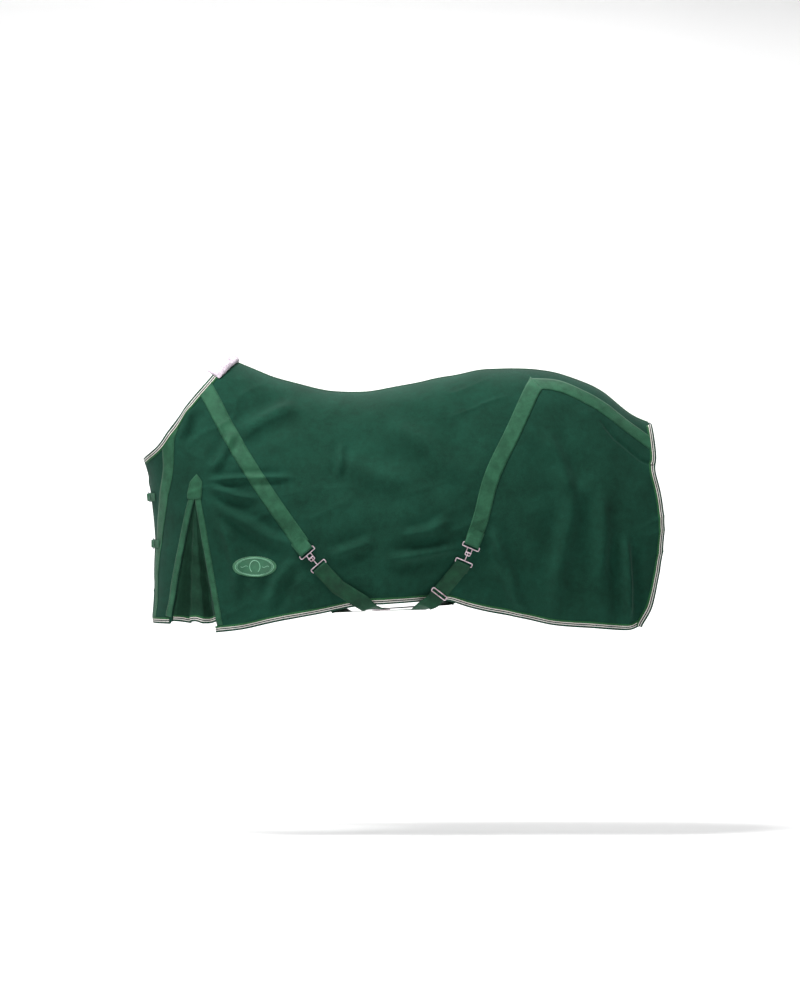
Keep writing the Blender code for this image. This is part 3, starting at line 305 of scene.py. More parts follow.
def wrinkle(x, z, side):
    """How far the folds and waves lift the cloth from the body there."""
    total = np.zeros(np.shape(x))
    for line, width, height, where in FOLDS:
        if where in (0, side):
            gap, along = line_distance(x, z, line)
            ends = np.minimum(ease(along / 0.3), ease((1 - along) / 0.3) + 0.25 * (where == 0))
            ridge = (np.exp(-(gap / (0.8 * width)) ** 2)
                     - 0.5 * np.exp(-((gap - 1.7 * width) / width) ** 2))
            total = total + FOLD_STRENGTH * height * np.clip(ends, 0, 1) * ridge
    for sample, height in NOISES[side]:
        total = total + height * sample(x, z)
    total = total + creases(x, z, side)
    if side < 0:
        for line in STRAP_LINES:
            gap, _ = line_distance(x, z, line)
            calm = 1 - ease((gap - CALM_REACH) / CALM_FADE)
            total = total * (1 - CALM_SHARE * calm) - CALM_SINK * calm
    gap, along = line_distance(x, z, DART)
    total = total - DART_DEPTH * np.exp(-(gap / DART_WIDTH) ** 2) * ease(along / 0.2)
    away = ease((read("back", x) - z) / SPINE_BAND)
    level = SPINE_LEVEL + SPINE_WAVE_HEIGHT * SPINE_WAVE(x, np.zeros(np.shape(x)))
    low = ease((z - FLARE_TOP_Z) / -0.12)
    flare = FLARE_HEIGHT * low * np.sin(x * 21 + side) * ease((x + 0.35) / 0.1)
    return level * (1 - away) + away * (total + SLACK) + flare


def normal(x, z, side):
    """The body's outward unit normals."""
    step = 0.0008
    along_x = (half_width(x + step, z) - half_width(x - step, z)) / (2 * step)
    along_z = (half_width(x, z + step) - half_width(x, z - step)) / (2 * step)
    found = np.stack([-along_x, np.full(np.shape(x), float(side)), -along_z], axis=-1)
    return found / np.linalg.norm(found, axis=-1, keepdims=True)


def cloth_place(side):
    """The map from a side-view place and a height over the cloth's middle to a place in space."""
    def place(x, z, lift):
        x, z = np.asarray(x, float), np.asarray(z, float)
        base = np.stack([x, side * half_width(x, z), z], axis=-1)
        return base + normal(x, z, side) * (lift + wrinkle(x, z, side))[..., None]

    return place


def body_place(side):
    """The same map without the folds, for the metal and the straps' ends."""
    def place(x, z, lift):
        x, z = np.asarray(x, float), np.asarray(z, float)
        base = np.stack([x, side * half_width(x, z), z], axis=-1)
        return base + normal(x, z, side) * np.asarray(lift, float)[..., None]

    return place


def new_mesh(name, points, faces, uv=None, material=None, smooth=True):
    """An object from points, faces and one (u, v) a point, with its normals pointing out."""
    mesh = bpy.data.meshes.new(name)
    mesh.from_pydata([tuple(map(float, p)) for p in points], [], faces)
    if uv is not None:
        layer = mesh.uv_layers.new(name="UVMap")
        loops = np.zeros(len(mesh.loops), dtype=np.int32)
        mesh.loops.foreach_get("vertex_index", loops)
        layer.data.foreach_set("uv", np.asarray(uv, np.float32)[loops].ravel())
    bm = bmesh.new()
    bm.from_mesh(mesh)
    bmesh.ops.recalc_face_normals(bm, faces=bm.faces[:])
    bm.to_mesh(mesh)
    bm.free()
    mesh.polygons.foreach_set("use_smooth", [smooth] * len(mesh.polygons))
    obj = bpy.data.objects.new(name, mesh)
    bpy.context.scene.collection.objects.link(obj)
    if material:
        mesh.materials.append(material)
    return obj


def grid_faces(rows, columns):
    """The faces of a grid of places, row by row."""
    return [(i * columns + j, i * columns + j + 1, (i + 1) * columns + j + 1, (i + 1) * columns + j)
            for i in range(rows - 1) for j in range(columns - 1)]


def tube_faces(rows, sides):
    """The faces of a closed tube of equal rings, with a cap at each end."""
    faces = [(i * sides + j, i * sides + (j + 1) % sides, (i + 1) * sides + (j + 1) % sides,
              (i + 1) * sides + j) for i in range(rows - 1) for j in range(sides)]
    return faces + [tuple(range(sides)), tuple((rows - 1) * sides + j for j in range(sides))]


def fan_faces(rings, spokes):
    """The faces of nested rings of places whose last place is their middle."""
    faces = tube_faces(rings, spokes)[:-2]
    return faces + [(rings * spokes, (j + 1) % spokes, j) for j in range(spokes)]


def skins(top, bottom, faces, uv):
    """The (points, faces, uv) of two skins, joined round the rim."""
    count = len(top)
    used = {(a, b) for face in faces for a, b in zip(face, face[1:] + face[:1])}
    rim = [(a, b) for a, b in used if (b, a) not in used]
    both = list(faces) + [tuple(i + count for i in reversed(face)) for face in faces]
    both += [(b, a, a + count, b + count) for a, b in sorted(rim)]
    return np.concatenate([top, bottom]), both, np.concatenate([uv, uv])


def resample(line, step):
    """Places at even steps along a line, through a smooth curve over its corners."""
    line = np.asarray(line, float)
    padded = np.vstack([2 * line[0] - line[1], line, 2 * line[-1] - line[-2]])
    fine = []
    for i in range(len(line) - 1):
        p0, p1, p2, p3 = padded[i:i + 4]
        for t in np.linspace(0, 1, 24, endpoint=False):
            fine.append(0.5 * (2 * p1 + (p2 - p0) * t + (2 * p0 - 5 * p1 + 4 * p2 - p3) * t * t
                               + (3 * p1 - p0 - 3 * p2 + p3) * t ** 3))
    fine.append(line[-1])
    fine = np.array(fine)
    along = np.concatenate([[0], np.cumsum(np.linalg.norm(np.diff(fine, axis=0), axis=1))])
    at = np.linspace(0, along[-1], max(2, int(round(along[-1] / step)) + 1))
    return np.stack([np.interp(at, along, fine[:, k]) for k in range(fine.shape[1])], 1), at


def sideways(line):
    """The unit normals of a side-view line, on the left of its run."""
    ahead = np.gradient(line, axis=0)
    ahead /= np.linalg.norm(ahead, axis=1, keepdims=True)
    return np.stack([-ahead[:, 1], ahead[:, 0]], 1)


def strip_grid(line, half, columns, step=0.006):
    """A strip along a side-view line: places, (u, v) with u in metres and v 0 to 1, and faces.

    Its half width is one number, or values at even shares of the line.
    """
    line, at = resample(line, step)
    out = sideways(line)
    half = np.atleast_1d(half)
    half = np.interp(np.linspace(0, 1, len(line)), np.linspace(0, 1, len(half)), half)
    share = np.linspace(0, 1, columns)
    offset = half[:, None] * (1 - share) - half[:, None] * share
    flat = line[:, None, :] + out[:, None, :] * offset[..., None]
    uv = np.stack(np.broadcast_arrays(at[:, None], share[None, :]), -1)
    return flat.reshape(-1, 2), uv.reshape(-1, 2), grid_faces(len(line), columns)


CUT_DISTANCE = 1e-6


def flat_bmesh(flat, uv, faces):
    """A flat mesh as a bmesh that carries its (u, v)."""
    bm = bmesh.new()
    layer = bm.verts.layers.float_vector.new("uv")
    verts = []
    for (x, z), (u, v) in zip(flat, uv):
        vert = bm.verts.new((x, 0, z))
        vert[layer] = (u, v, 0)
        verts.append(vert)
    for face in faces:
        bm.faces.new([verts[i] for i in face])
    return bm, layer


def from_bmesh(bm, layer):
    """The (flat, uv, faces) of such a bmesh, which is freed."""
    bm.verts.index_update()
    flat = np.array([(v.co.x, v.co.z) for v in bm.verts])
    uv = np.array([tuple(v[layer])[:2] for v in bm.verts])
    faces = [tuple(v.index for v in face.verts) for face in bm.faces]
    bm.free()
    return flat, uv, faces


def clipped(flat, uv, faces, cuts):
    """Cuts a flat mesh with lines (from, to) and keeps what is on the left of each."""
    bm, layer = flat_bmesh(flat, uv, faces)
    for (x0, z0), (x1, z1) in cuts:
        plane = Vector((z1 - z0, 0, x0 - x1))
        geometry = bm.verts[:] + bm.edges[:] + bm.faces[:]
        bmesh.ops.bisect_plane(bm, geom=geometry, plane_co=(x0, 0, z0), plane_no=plane,
                               clear_outer=True, dist=CUT_DISTANCE)
    return from_bmesh(bm, layer)


def outline_line(points, count):
    """Even places along a smooth side-view line."""
    line, _ = resample(points, 0.004)
    at = np.linspace(0, len(line) - 1, count)
    return np.stack([np.interp(at, np.arange(len(line)), line[:, k]) for k in (0, 1)], 1)


FRONT_TURN = 0.05
PANEL_ROWS = 190
PANEL_COLUMNS = 250


def panel_edges():
    """The four edges of a side as turns: the front, the spine, the rear and the hem."""
    neck = outline_line(NECK_EDGE, 60)
    a_neck, b_neck = turns_of(neck[:, 0], neck[:, 1])
    b_neck = np.maximum(b_neck, 0)
    lead_z = np.linspace(NECK_EDGE[-1][1], FRONT_HEM_Z, 90)[1:]
    lead_x = read("front", lead_z) + 0.0004
    _, b_lead = turns_of(lead_x, lead_z)
    a_lead = np.full(len(lead_z), FRONT_TURN)
    front = np.stack([np.concatenate([np.maximum(a_neck, FRONT_TURN), a_lead]),
                      np.concatenate([b_neck, b_lead])], 1)
    front[0, 1] = 0.0
    rear = outline_line(REAR_EDGE, 120)
    rear = np.stack(turns_of(rear[:, 0], rear[:, 1]), 1)
    rear[0, 1] = 0.0
    under = outline_line(HEM[::-1], 260)
    bridge_x = np.linspace(read("front", FRONT_HEM_Z) + 0.02, HEM[-1][0], 60)[:-1]
    bridge_z = np.interp(bridge_x, [SLIT_FRONT_FOOT[0], HEM[-1][0]], [FRONT_HEM_Z, HEM[-1][1]])
    low = np.concatenate([np.stack([bridge_x, bridge_z], 1), under])
    low = np.stack(turns_of(low[:, 0], low[:, 1]), 1)
    low = np.vstack([front[-1], low])
    top_x = np.linspace(NECK_EDGE[0][0], REAR_EDGE[0][0], 200)
    top = np.stack(turns_of(top_x, read("back", top_x)), 1)
    top[:, 1] = 0.0
    top[0], top[-1], low[-1] = front[0], rear[0], rear[-1]
    return front, top, rear, low


def even(line, count):
    """A polyline of turns as evenly spaced places."""
    along = np.concatenate([[0], np.cumsum(np.linalg.norm(np.diff(line, axis=0), axis=1))])
    at = np.linspace(0, along[-1], count)
    return np.stack([np.interp(at, along, line[:, k]) for k in (0, 1)], 1)


def panel_flat(rows, columns):
    """A side's places and (u, v): a patch between its four edges, straightened out by the turns."""
    front, top, rear, low = panel_edges()
    front, rear = even(front, rows), even(rear, rows)
    top, low = even(top, columns), even(low, columns)
    u, v = np.meshgrid(np.linspace(0, 1, columns), np.linspace(0, 1, rows))
    u, v = u[..., None], v[..., None]
    patch = ((1 - u) * front[:, None] + u * rear[:, None] + (1 - v) * top[None] + v * low[None]
             - (1 - u) * (1 - v) * top[0] - u * (1 - v) * top[-1]
             - (1 - u) * v * low[0] - u * v * low[-1])
    x, z = place_of(patch[..., 0], patch[..., 1])
    flat = np.stack([x.ravel(), z.ravel()], 1)
    uv = np.stack([x.ravel(), (patch[..., 1] * FULL_DEPTH).ravel()], 1)
    return flat, uv, grid_faces(rows, columns)


def without_slit(flat, uv, faces):
    """Cuts the V-shaped slit out of a side."""
    foot_z = -0.80
    legs = []
    for foot in (SLIT_FRONT_FOOT, SLIT_REAR_FOOT):
        t = (foot_z - SLIT_TOP[1]) / (foot[1] - SLIT_TOP[1])
        legs.append((SLIT_TOP[0] + t * (foot[0] - SLIT_TOP[0]), foot_z))
    bm, layer = flat_bmesh(flat, uv, faces)
    for leg in legs:
        near = [f for f in bm.faces if abs(f.calc_center_median().x - SLIT_TOP[0]) < 0.16
                and f.calc_center_median().z < SLIT_TOP[1] + 0.02]
        parts = set(near)
        for face in near:
            parts.update(face.verts)
            parts.update(face.edges)
        plane = Vector((leg[1] - SLIT_TOP[1], 0, SLIT_TOP[0] - leg[0]))
        bmesh.ops.bisect_plane(bm, geom=list(parts), plane_co=(SLIT_TOP[0], 0, SLIT_TOP[1]),
                               plane_no=plane, dist=CUT_DISTANCE)
    inside = []
    for face in bm.faces:
        c = face.calc_center_median()
        if c.z < SLIT_TOP[1]:
            share = (c.z - SLIT_TOP[1]) / (foot_z - SLIT_TOP[1])
            left = SLIT_TOP[0] + share * (legs[0][0] - SLIT_TOP[0])
            right = SLIT_TOP[0] + share * (legs[1][0] - SLIT_TOP[0])
            if left < c.x < right:
                inside.append(face)
    bmesh.ops.delete(bm, geom=inside, context="FACES")
    return from_bmesh(bm, layer)


def srgb(red, green, blue):
    """A linear colour from the 0 to 255 values a colour picker shows."""
    def linear(value):
        value /= 255
        return value / 12.92 if value <= 0.04045 else ((value + 0.055) / 1.055) ** 2.4
    return linear(red), linear(green), linear(blue), 1.0


def start_material(name, roughness, **constants):
    """A material with its shader, whose constant values sit on the shader's own sockets."""
    material = bpy.data.materials.new(name)
    material.use_nodes = True
    tree = material.node_tree
    shader = tree.nodes["Principled BSDF"]
    shader.inputs["Roughness"].default_value = roughness
    for key, value in constants.items():
        shader.inputs[key.replace("_", " ")].default_value = value
    return material, tree, shader


def node(tree, kind, inputs=None, **settings):
    made = tree.nodes.new(kind)
    for key, value in settings.items():
        setattr(made, key, value)
    for key, value in (inputs or {}).items():
        if hasattr(value, "links") or isinstance(value, bpy.types.NodeSocket):
            tree.links.new(value, made.inputs[key])
        else:
            made.inputs[key].default_value = value
    return made


def coordinates(tree, kind="Object"):
    return node(tree, "ShaderNodeTexCoord").outputs[kind]


def uv_parts(tree):
    """The u and v outputs of a piece's own map."""
    made = node(tree, "ShaderNodeSeparateXYZ", {"Vector": coordinates(tree, "UV")})
    return made.outputs[0], made.outputs[1]


def noise(tree, where, scale, detail=3.0, rough=0.55):
    return node(tree, "ShaderNodeTexNoise", {"Vector": where, "Scale": scale, "Detail": detail,
                                             "Roughness": rough}).outputs["Fac"]


def math_node(tree, operation, a, b=0.0):
    return node(tree, "ShaderNodeMath", {0: a, 1: b}, operation=operation).outputs[0]


def blend(tree, *terms):
    """The sum of (value, weight) terms; a last bare number is added as it is."""
    total = None
    for term in terms:
        part = math_node(tree, "MULTIPLY", *term) if isinstance(term, tuple) else term
        total = part if total is None else math_node(tree, "ADD", total, part)
    return total


def ramp(tree, value, stops, mode="LINEAR"):
    """A colour ramp from (place, colour) stops."""
    made = node(tree, "ShaderNodeValToRGB", {"Fac": value})
    made.color_ramp.interpolation = mode
    elements = made.color_ramp.elements
    while len(elements) < len(stops):
        elements.new(0.5)
    for element, (place, colour) in zip(elements, stops):
        element.position = place
        element.color = colour
    return made.outputs["Color"]


def mix(tree, share, a, b, blend="MIX"):
    """One colour mixed with another."""
    made = node(tree, "ShaderNodeMix", data_type="RGBA", blend_type=blend)
    for index, value in ((0, share), (6, a), (7, b)):
        if isinstance(value, bpy.types.NodeSocket):
            tree.links.new(value, made.inputs[index])
        else:
            made.inputs[index].default_value = value
    return made.outputs[2]


def finish_material(material, tree, shader, colour, bump=None, strength=0.3, distance=0.001,
                    roughness=None):
    tree.links.new(colour, shader.inputs["Base Color"])
    if roughness is not None:
        tree.links.new(roughness, shader.inputs["Roughness"])
    if bump is not None:
        made = node(tree, "ShaderNodeBump", {"Height": bump, "Strength": strength,
                                             "Distance": distance})
        tree.links.new(made.outputs["Normal"], shader.inputs["Normal"])
    return material


def cloth_material(name, light, dark):
    """Brushed cotton: a fine twill under a soft nap, with cloudy changes of shade."""
    material, tree, shader = start_material(name, 0.93, Sheen_Weight=0.05, Sheen_Roughness=0.4,
                                            Specular_IOR_Level=0.12)
    shader.inputs["Sheen Tint"].default_value = (0.55, 0.85, 0.74, 1)
    where = coordinates(tree)
    clouds = noise(tree, where, 9.0, 6.0, 0.6)
    nap = noise(tree, where, 260.0, 3.0, 0.7)
    blotches = noise(tree, where, 55.0, 4.0, 0.65)
    shade = blend(tree, (clouds, 0.65), (blotches, 0.35))
    colour = ramp(tree, shade, [(0.36, dark), (0.66, light)])
    fuzz = ramp(tree, nap, [(0.35, (0.86, 0.86, 0.86, 1)), (0.75, (1.12, 1.12, 1.12, 1))])
    colour = mix(tree, 1.0, colour, fuzz, "MULTIPLY")
    twill = node(tree, "ShaderNodeTexWave", {"Vector": where, "Scale": 330.0, "Distortion": 0.6},
                 bands_direction="DIAGONAL").outputs["Fac"]
    height = blend(tree, (nap, 0.7), (twill, 0.3))
    rough = blend(tree, (blotches, 0.10), 0.86)
    return finish_material(material, tree, shader, colour, height, 0.35, 0.0006, rough)


def woven_material(name, light, dark, ribs=420.0, sheen=0.04, rough=0.72):
    """Webbing or tape: ribs across, rows of warp along, and a paler worn rib here and there."""
    material, tree, shader = start_material(name, rough, Sheen_Weight=sheen, Sheen_Roughness=0.4,
                                            Specular_IOR_Level=0.2)
    u, v = uv_parts(tree)
    along = math_node(tree, "MULTIPLY", u, ribs * 2 * math.pi)
    across = math_node(tree, "MULTIPLY", v, 26.0 * math.pi)
    flip = math_node(tree, "SIGN", math_node(tree, "SINE", across))
    rib = math_node(tree, "SINE", blend(tree, along, (flip, 1.2)))
    rows = math_node(tree, "ABSOLUTE", math_node(tree, "SINE", across))
    where = coordinates(tree)
    cloud = noise(tree, where, 30.0, 4.0, 0.6)
    fine = noise(tree, where, 420.0, 2.0, 0.6)
    base = ramp(tree, cloud, [(0.35, dark), (0.68, light)])
    weave = blend(tree, (rib, 0.10), (rows, 0.16), (fine, 0.30))
    grey = ramp(tree, weave, [(0.0, (0.74, 0.74, 0.74, 1)), (0.45, (1.15, 1.15, 1.15, 1))])
    colour = mix(tree, 1.0, base, grey, "MULTIPLY")
    height = blend(tree, (rib, 0.35), (rows, 0.65))
    roughness = blend(tree, (fine, 0.16), rough - 0.08)
    return finish_material(material, tree, shader, colour, height, 0.5, 0.0005, roughness)


STRIPES = [(0.00, srgb(20, 58, 44)), (0.26, srgb(222, 220, 216)), (0.375, srgb(34, 50, 46)),
           (0.57, srgb(218, 212, 206)), (0.68, srgb(32, 84, 48))]
STRIPE_JITTER = 0.05
BINDING_RIBS = 700


def binding_material(name):
    """Bound edge with woven stripes: green at both edges, and two white lines round a dark one."""
    material, tree, shader = start_material(name, 0.78, Sheen_Weight=0.04, Sheen_Roughness=0.4,
                                            Specular_IOR_Level=0.2)
    u, v = uv_parts(tree)
    where = coordinates(tree)
    centred = math_node(tree, "SUBTRACT", noise(tree, where, 300.0, 2.0), 0.5)
    stripes = ramp(tree, blend(tree, v, (centred, STRIPE_JITTER)), STRIPES, "CONSTANT")
    rib = math_node(tree, "SINE", math_node(tree, "MULTIPLY", u, BINDING_RIBS * 2 * math.pi))
    soil = noise(tree, where, 24.0, 5.0, 0.65)
    dull = ramp(tree, soil, [(0.35, (0.80, 0.80, 0.78, 1)), (0.7, (1.04, 1.04, 1.04, 1))])
    colour = mix(tree, 1.0, stripes, dull, "MULTIPLY")
    fine = noise(tree, where, 500.0, 2.0)
    height = math_node(tree, "ADD", math_node(tree, "MULTIPLY", rib, 0.5), fine)
    rough = blend(tree, (fine, 0.14), 0.71)
    return finish_material(material, tree, shader, colour, height, 0.4, 0.0004, rough)


def fleece_material(name):
    """Sheepskin-like pile: white with a warm tinge, and shadow between the tufts."""
    material, tree, shader = start_material(name, 0.97, Sheen_Weight=0.15, Sheen_Roughness=0.6,
                                            Specular_IOR_Level=0.2)
    where = coordinates(tree)
    tufts = noise(tree, where, 140.0, 5.0, 0.7)
    broad = noise(tree, where, 30.0, 3.0, 0.6)
    shade = blend(tree, (tufts, 0.7), (broad, 0.3))
    colour = ramp(tree, shade, [(0.30, srgb(180, 164, 178)), (0.48, srgb(212, 198, 210)),
                                (0.68, srgb(230, 218, 228))])
    rough = blend(tree, (broad, 0.08), 0.90)
    return finish_material(material, tree, shader, colour, tufts, 0.7, 0.003, rough)


def metal_material(name, light, dark, rough):
    """Plated wire: bright, with cloudy tarnish, fine scratches and duller worn patches."""
    material, tree, shader = start_material(name, rough, Metallic=1.0)
    where = coordinates(tree)
    tarnish = noise(tree, where, 70.0, 5.0, 0.65)
    fine = noise(tree, where, 900.0, 3.0, 0.6)
    colour = ramp(tree, tarnish, [(0.35, dark), (0.62, light)])
    roughness = blend(tree, (tarnish, 0.28), (fine, 0.08), rough - 0.12)
    return finish_material(material, tree, shader, colour, fine, 0.12, 0.0003, roughness)


CLOTH_LOOK = cloth_material("green_cotton", srgb(21, 64, 50), srgb(13, 48, 36))
GUSSET_LOOK = cloth_material("green_cotton_lining", srgb(25, 60, 44), srgb(16, 46, 32))
WEB_LOOK = woven_material("green_webbing", srgb(40, 91, 65), srgb(28, 73, 51))
STRAP_LOOK = woven_material("belly_strap_webbing", srgb(20, 68, 45), srgb(13, 51, 34), 380.0)
TAPE_LOOK = woven_material("green_tape", srgb(40, 90, 64), srgb(28, 72, 50), 600.0)
SEAM_LOOK = woven_material("seam_tape_webbing", srgb(84, 138, 96), srgb(48, 100, 66), 600.0)
BINDING_LOOK = binding_material("striped_binding")
FLEECE_LOOK = fleece_material("white_fleece")
NICKEL_LOOK = metal_material("nickel", srgb(232, 214, 224), srgb(176, 150, 160), 0.30)
DARK_LOOK = metal_material("grey_buckle_metal", srgb(150, 153, 166), srgb(98, 100, 112), 0.36)
KEEPER_LOOK = woven_material("keeper_webbing", srgb(50, 104, 80), srgb(36, 84, 62), 500.0)
THREAD_LOOK = woven_material("sewing_thread", srgb(40, 84, 64), srgb(24, 58, 44), 900.0)


def finish_piece(obj, body="rug", replaced=None):
    """Gives a new piece its body and hides the CAD node it stands for."""
    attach(obj, body)
    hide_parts(replaced or obj.name.removesuffix("_soft"))
    return obj


def add_piece(name, mesh, look, replaced=None):
    """A new piece from (points, faces, uv)."""
    return finish_piece(new_mesh(name, *mesh, look), replaced=replaced)


def joined(parts):
    """Several (points, faces, uv) as one."""
    points, faces, uv, count = [], [], [], 0
    for part_points, part_faces, part_uv in parts:
        points.append(np.asarray(part_points))
        uv.append(np.asarray(part_uv))
        faces += [tuple(i + count for i in face) for face in part_faces]
        count += len(part_points)
    return np.concatenate(points), faces, np.concatenate(uv)


def layer_mesh(flat, uv, faces, place, low, high):
    """The (points, faces, uv) of a thin layer: two skins at two heights, joined round the rim."""
    top, bottom = (place(flat[:, 0], flat[:, 1], np.full(len(flat), height))
                   for height in (high, low))
    return skins(top, bottom, faces, uv)


def declare_sheet(obj):
    """Returns the sheet as it is; nothing here declares it."""
    return obj


SIDES = {"near": -1, "off": 1}
TAPE_LOW = CLOTH / 2 + GAP


def make_panel(label, side):
    """One side of the rug, with the slit cut out."""
    flat, uv, faces = without_slit(*panel_flat(PANEL_ROWS, PANEL_COLUMNS))
    mesh = layer_mesh(flat, uv, faces, cloth_place(side), -CLOTH / 2, CLOTH / 2)
    add_piece(f"{label}_panel_cloth", mesh, CLOTH_LOOK, f"{label}_side_panel")


def binding_mesh(line, inward, place, lift=0.0, step=0.007, width=BINDING_WIDTH):
    """A folded binding along an edge, with v from 0 at its fold to 1 at its sewn edges."""
    line, at = resample(line, step)
    out = sideways(line) * inward
    over, under = CLOTH / 2 + GAP + BINDING + lift, CLOTH / 2 + GAP + lift
    profile = [(1.0, over - 0.0004), (0.92, over), (0.5, over + 0.0003), (0.08, over),
               (-0.05, 0.7 * over), (-0.075, 0.0), (-0.05, -0.7 * over), (0.08, -over),
               (0.5, -over - 0.0003), (0.92, -over), (1.0, 0.0004 - over), (1.0, -under),
               (0.03, -under), (0.03, under), (1.0, under)]
    across = np.array([p[0] for p in profile])
    height = np.array([p[1] for p in profile])
    flat = line[:, None, :] + out[:, None, :] * (across * width)[None, :, None]
    heights = np.broadcast_to(height, flat.shape[:2])
    points = place(flat[..., 0].ravel(), flat[..., 1].ravel(), heights.ravel())
    rows, columns = flat.shape[:2]
    shares = np.broadcast_to(np.clip(across, 0, 1), (rows, columns))
    uv = np.stack([np.broadcast_to(at[:, None], (rows, columns)), shares], -1).reshape(-1, 2)
    return points, tube_faces(rows, columns), uv


def make_bindings(label, side):
    """The striped binding of a side's neck, rear and lower edges."""
    place = cloth_place(side)
    rear = REAR_EDGE + [(0.9265, -0.7475)]
    foot = [(read("front", FRONT_HEM_Z) + 0.003, FRONT_HEM_Z),
            (SLIT_FRONT_FOOT[0] - 0.0025, FRONT_HEM_Z)]
    for key, line, inward, lift in (
            ("neck", NECK_EDGE, 1, 0.0004), ("rear", rear, -1, 0.0004),
            ("hem", HEM[:-1] + [(-0.4235, -0.7615)], -1, 0.0), ("front_hem", foot, 1, 0.0)):
        add_piece(f"{label}_{key}_binding_soft", binding_mesh(line, inward, place, lift),
                  BINDING_LOOK)


def make_webbings(label, side):
    """The surcingle webbings and the croup webbing, sewn flat."""
    place = cloth_place(side)
    high = TAPE_LOW + WEBBING
    mitre = tuple(MITRE)
    half = WEB_WIDTH / 2
    rear_start = [(0.615, 0.080)] + REAR_WEB
    croup_start = [(0.530, 0.020)] + CROUP_WEB
    for key, line, reach, cuts in (
            ("front_surcingle", FRONT_WEB, half, []),
            ("rear_surcingle", rear_start, half, [mitre[::-1]]),
            ("croup", croup_start, CROUP_SIDE_WIDTH / 2, [mitre, CROUP_STOP])):
        flat, uv, faces = strip_grid(line, reach, 9)
        if cuts:
            flat, uv, faces = clipped(flat, uv, faces, cuts)
        if key == "front_surcingle":
            flat, uv, faces = clipped(flat, uv, faces, [(NECK_EDGE[0], NECK_EDGE[2])])
        parts = [layer_mesh(flat, uv, faces, place, TAPE_LOW, high)]
        if side < 0 and key in LEADS:
            parts.append(LEADS[key])
        add_piece(f"{label}_{key}_web", joined(parts), WEB_LOOK,
                  f"{label}_{key}_webbing")


def leg_line(foot, outward):
    """The side-view line just outside one leg of the slit."""
    top = (SLIT_TOP[0], SLIT_TOP[1] - GAP)
    run = math.dist(top, foot)
    away = (foot[1] - top[1]) / run * outward, -(foot[0] - top[0]) / run * outward
    half = GUSSET_TAPE_WIDTH / 2 + GAP
    return [(x - away[0] * half, z - away[1] * half) for x, z in (
        top, ((top[0] + foot[0]) / 2, (top[1] + foot[1]) / 2), foot)]


def make_tapes(label, side):
    """The tapes of the slit's legs and of the front edge."""
    place = cloth_place(side)
    high = TAPE_LOW + TAPE
    half = GUSSET_TAPE_WIDTH / 2
    for key, foot, outward, left in (("front", SLIT_FRONT_FOOT, -1, 0.068),
                                     ("rear", SLIT_REAR_FOOT, 1, 0.010)):
        stop = tuple(low + (top - low) * left for low, top in zip(foot, SLIT_TOP))
        flat, uv, faces = strip_grid(leg_line(stop, outward), half, 5)
        mesh = layer_mesh(flat, uv, faces, place, TAPE_LOW, high)
        add_piece(f"{label}_gusset_{key}_tape_soft", mesh, TAPE_LOOK)
    line = [(x, z) for x, z, _ in FRONT_TAPE]
    widths = np.array([width for _, _, width in FRONT_TAPE]) / 2
    flat, uv, faces = strip_grid(line, widths, 7)
    flat[:, 0] = np.maximum(flat[:, 0], read("front", flat[:, 1]) + 0.0012)
    flat, uv, faces = clipped(flat, uv, faces, [(NECK_EDGE[2], NECK_EDGE[4])])
    mesh = layer_mesh(flat, uv, faces, place, TAPE_LOW, high)
    add_piece(f"{label}_front_edge_tape_soft", mesh, TAPE_LOOK)
    make_patch(label, place, high)


def make_patch(label, place, high):
    """The reinforcing patch over the top of the slit, on a fan of places from its middle."""
    centre = np.mean(PATCH, axis=0)
    rim, _ = resample(PATCH + PATCH[:1], 0.004)
    rim = 0.35 * rim + 0.65 * np.array(polygon_rim(PATCH, len(rim)))
    rings = 7
    flat = np.concatenate([centre + (rim[:-1] - centre) * (i / rings) for i in range(1, rings + 1)]
                          + [[centre]])
    faces = fan_faces(rings, len(rim) - 1)
    uv = (flat - centre) * np.array([1.0, 14.0]) + np.array([0, 0.5])
    mesh = layer_mesh(flat, uv, faces, place, TAPE_LOW + TAPE * 0.9, high + TAPE)
    add_piece(f"{label}_gusset_patch_soft", mesh, TAPE_LOOK)


def polygon_rim(points, count):
    """Even places round a polygon, with its corners sharp."""
    loop = list(points) + [points[0]]
    along = np.concatenate([[0], np.cumsum([math.dist(a, b) for a, b in zip(loop, loop[1:])])])
    at = np.linspace(0, along[-1], count)
    return list(zip(np.interp(at, along, [p[0] for p in loop]),
                    np.interp(at, along, [p[1] for p in loop])))


PLEATS = 2
PLEAT_DEPTH = 0.036
PLEAT_PROFILE = [(0, 0), (0.04, 0.06), (0.12, 0.70), (0.20, 0.98), (0.27, 1.0), (0.335, 0.55),
                 (0.37, 0.20), (0.42, 0.13), (0.52, 0.16), (0.63, 0.12), (0.68, 0.20),
                 (0.71, 0.60), (0.78, 1.0), (0.85, 0.92), (0.93, 0.50), (0.97, 0.06), (1, 0)]
GUSSET_LIFT = -0.0048


def slit_edges(z):
    """X of the slit's two edges at some height, widening from its top."""
    share = (z - SLIT_TOP[1]) / (SLIT_FRONT_FOOT[1] - SLIT_TOP[1])
    share = np.maximum(share, 0)
    return (SLIT_TOP[0] + share * (SLIT_FRONT_FOOT[0] - SLIT_TOP[0]),
            SLIT_TOP[0] + share * (SLIT_REAR_FOOT[0] - SLIT_TOP[0]))


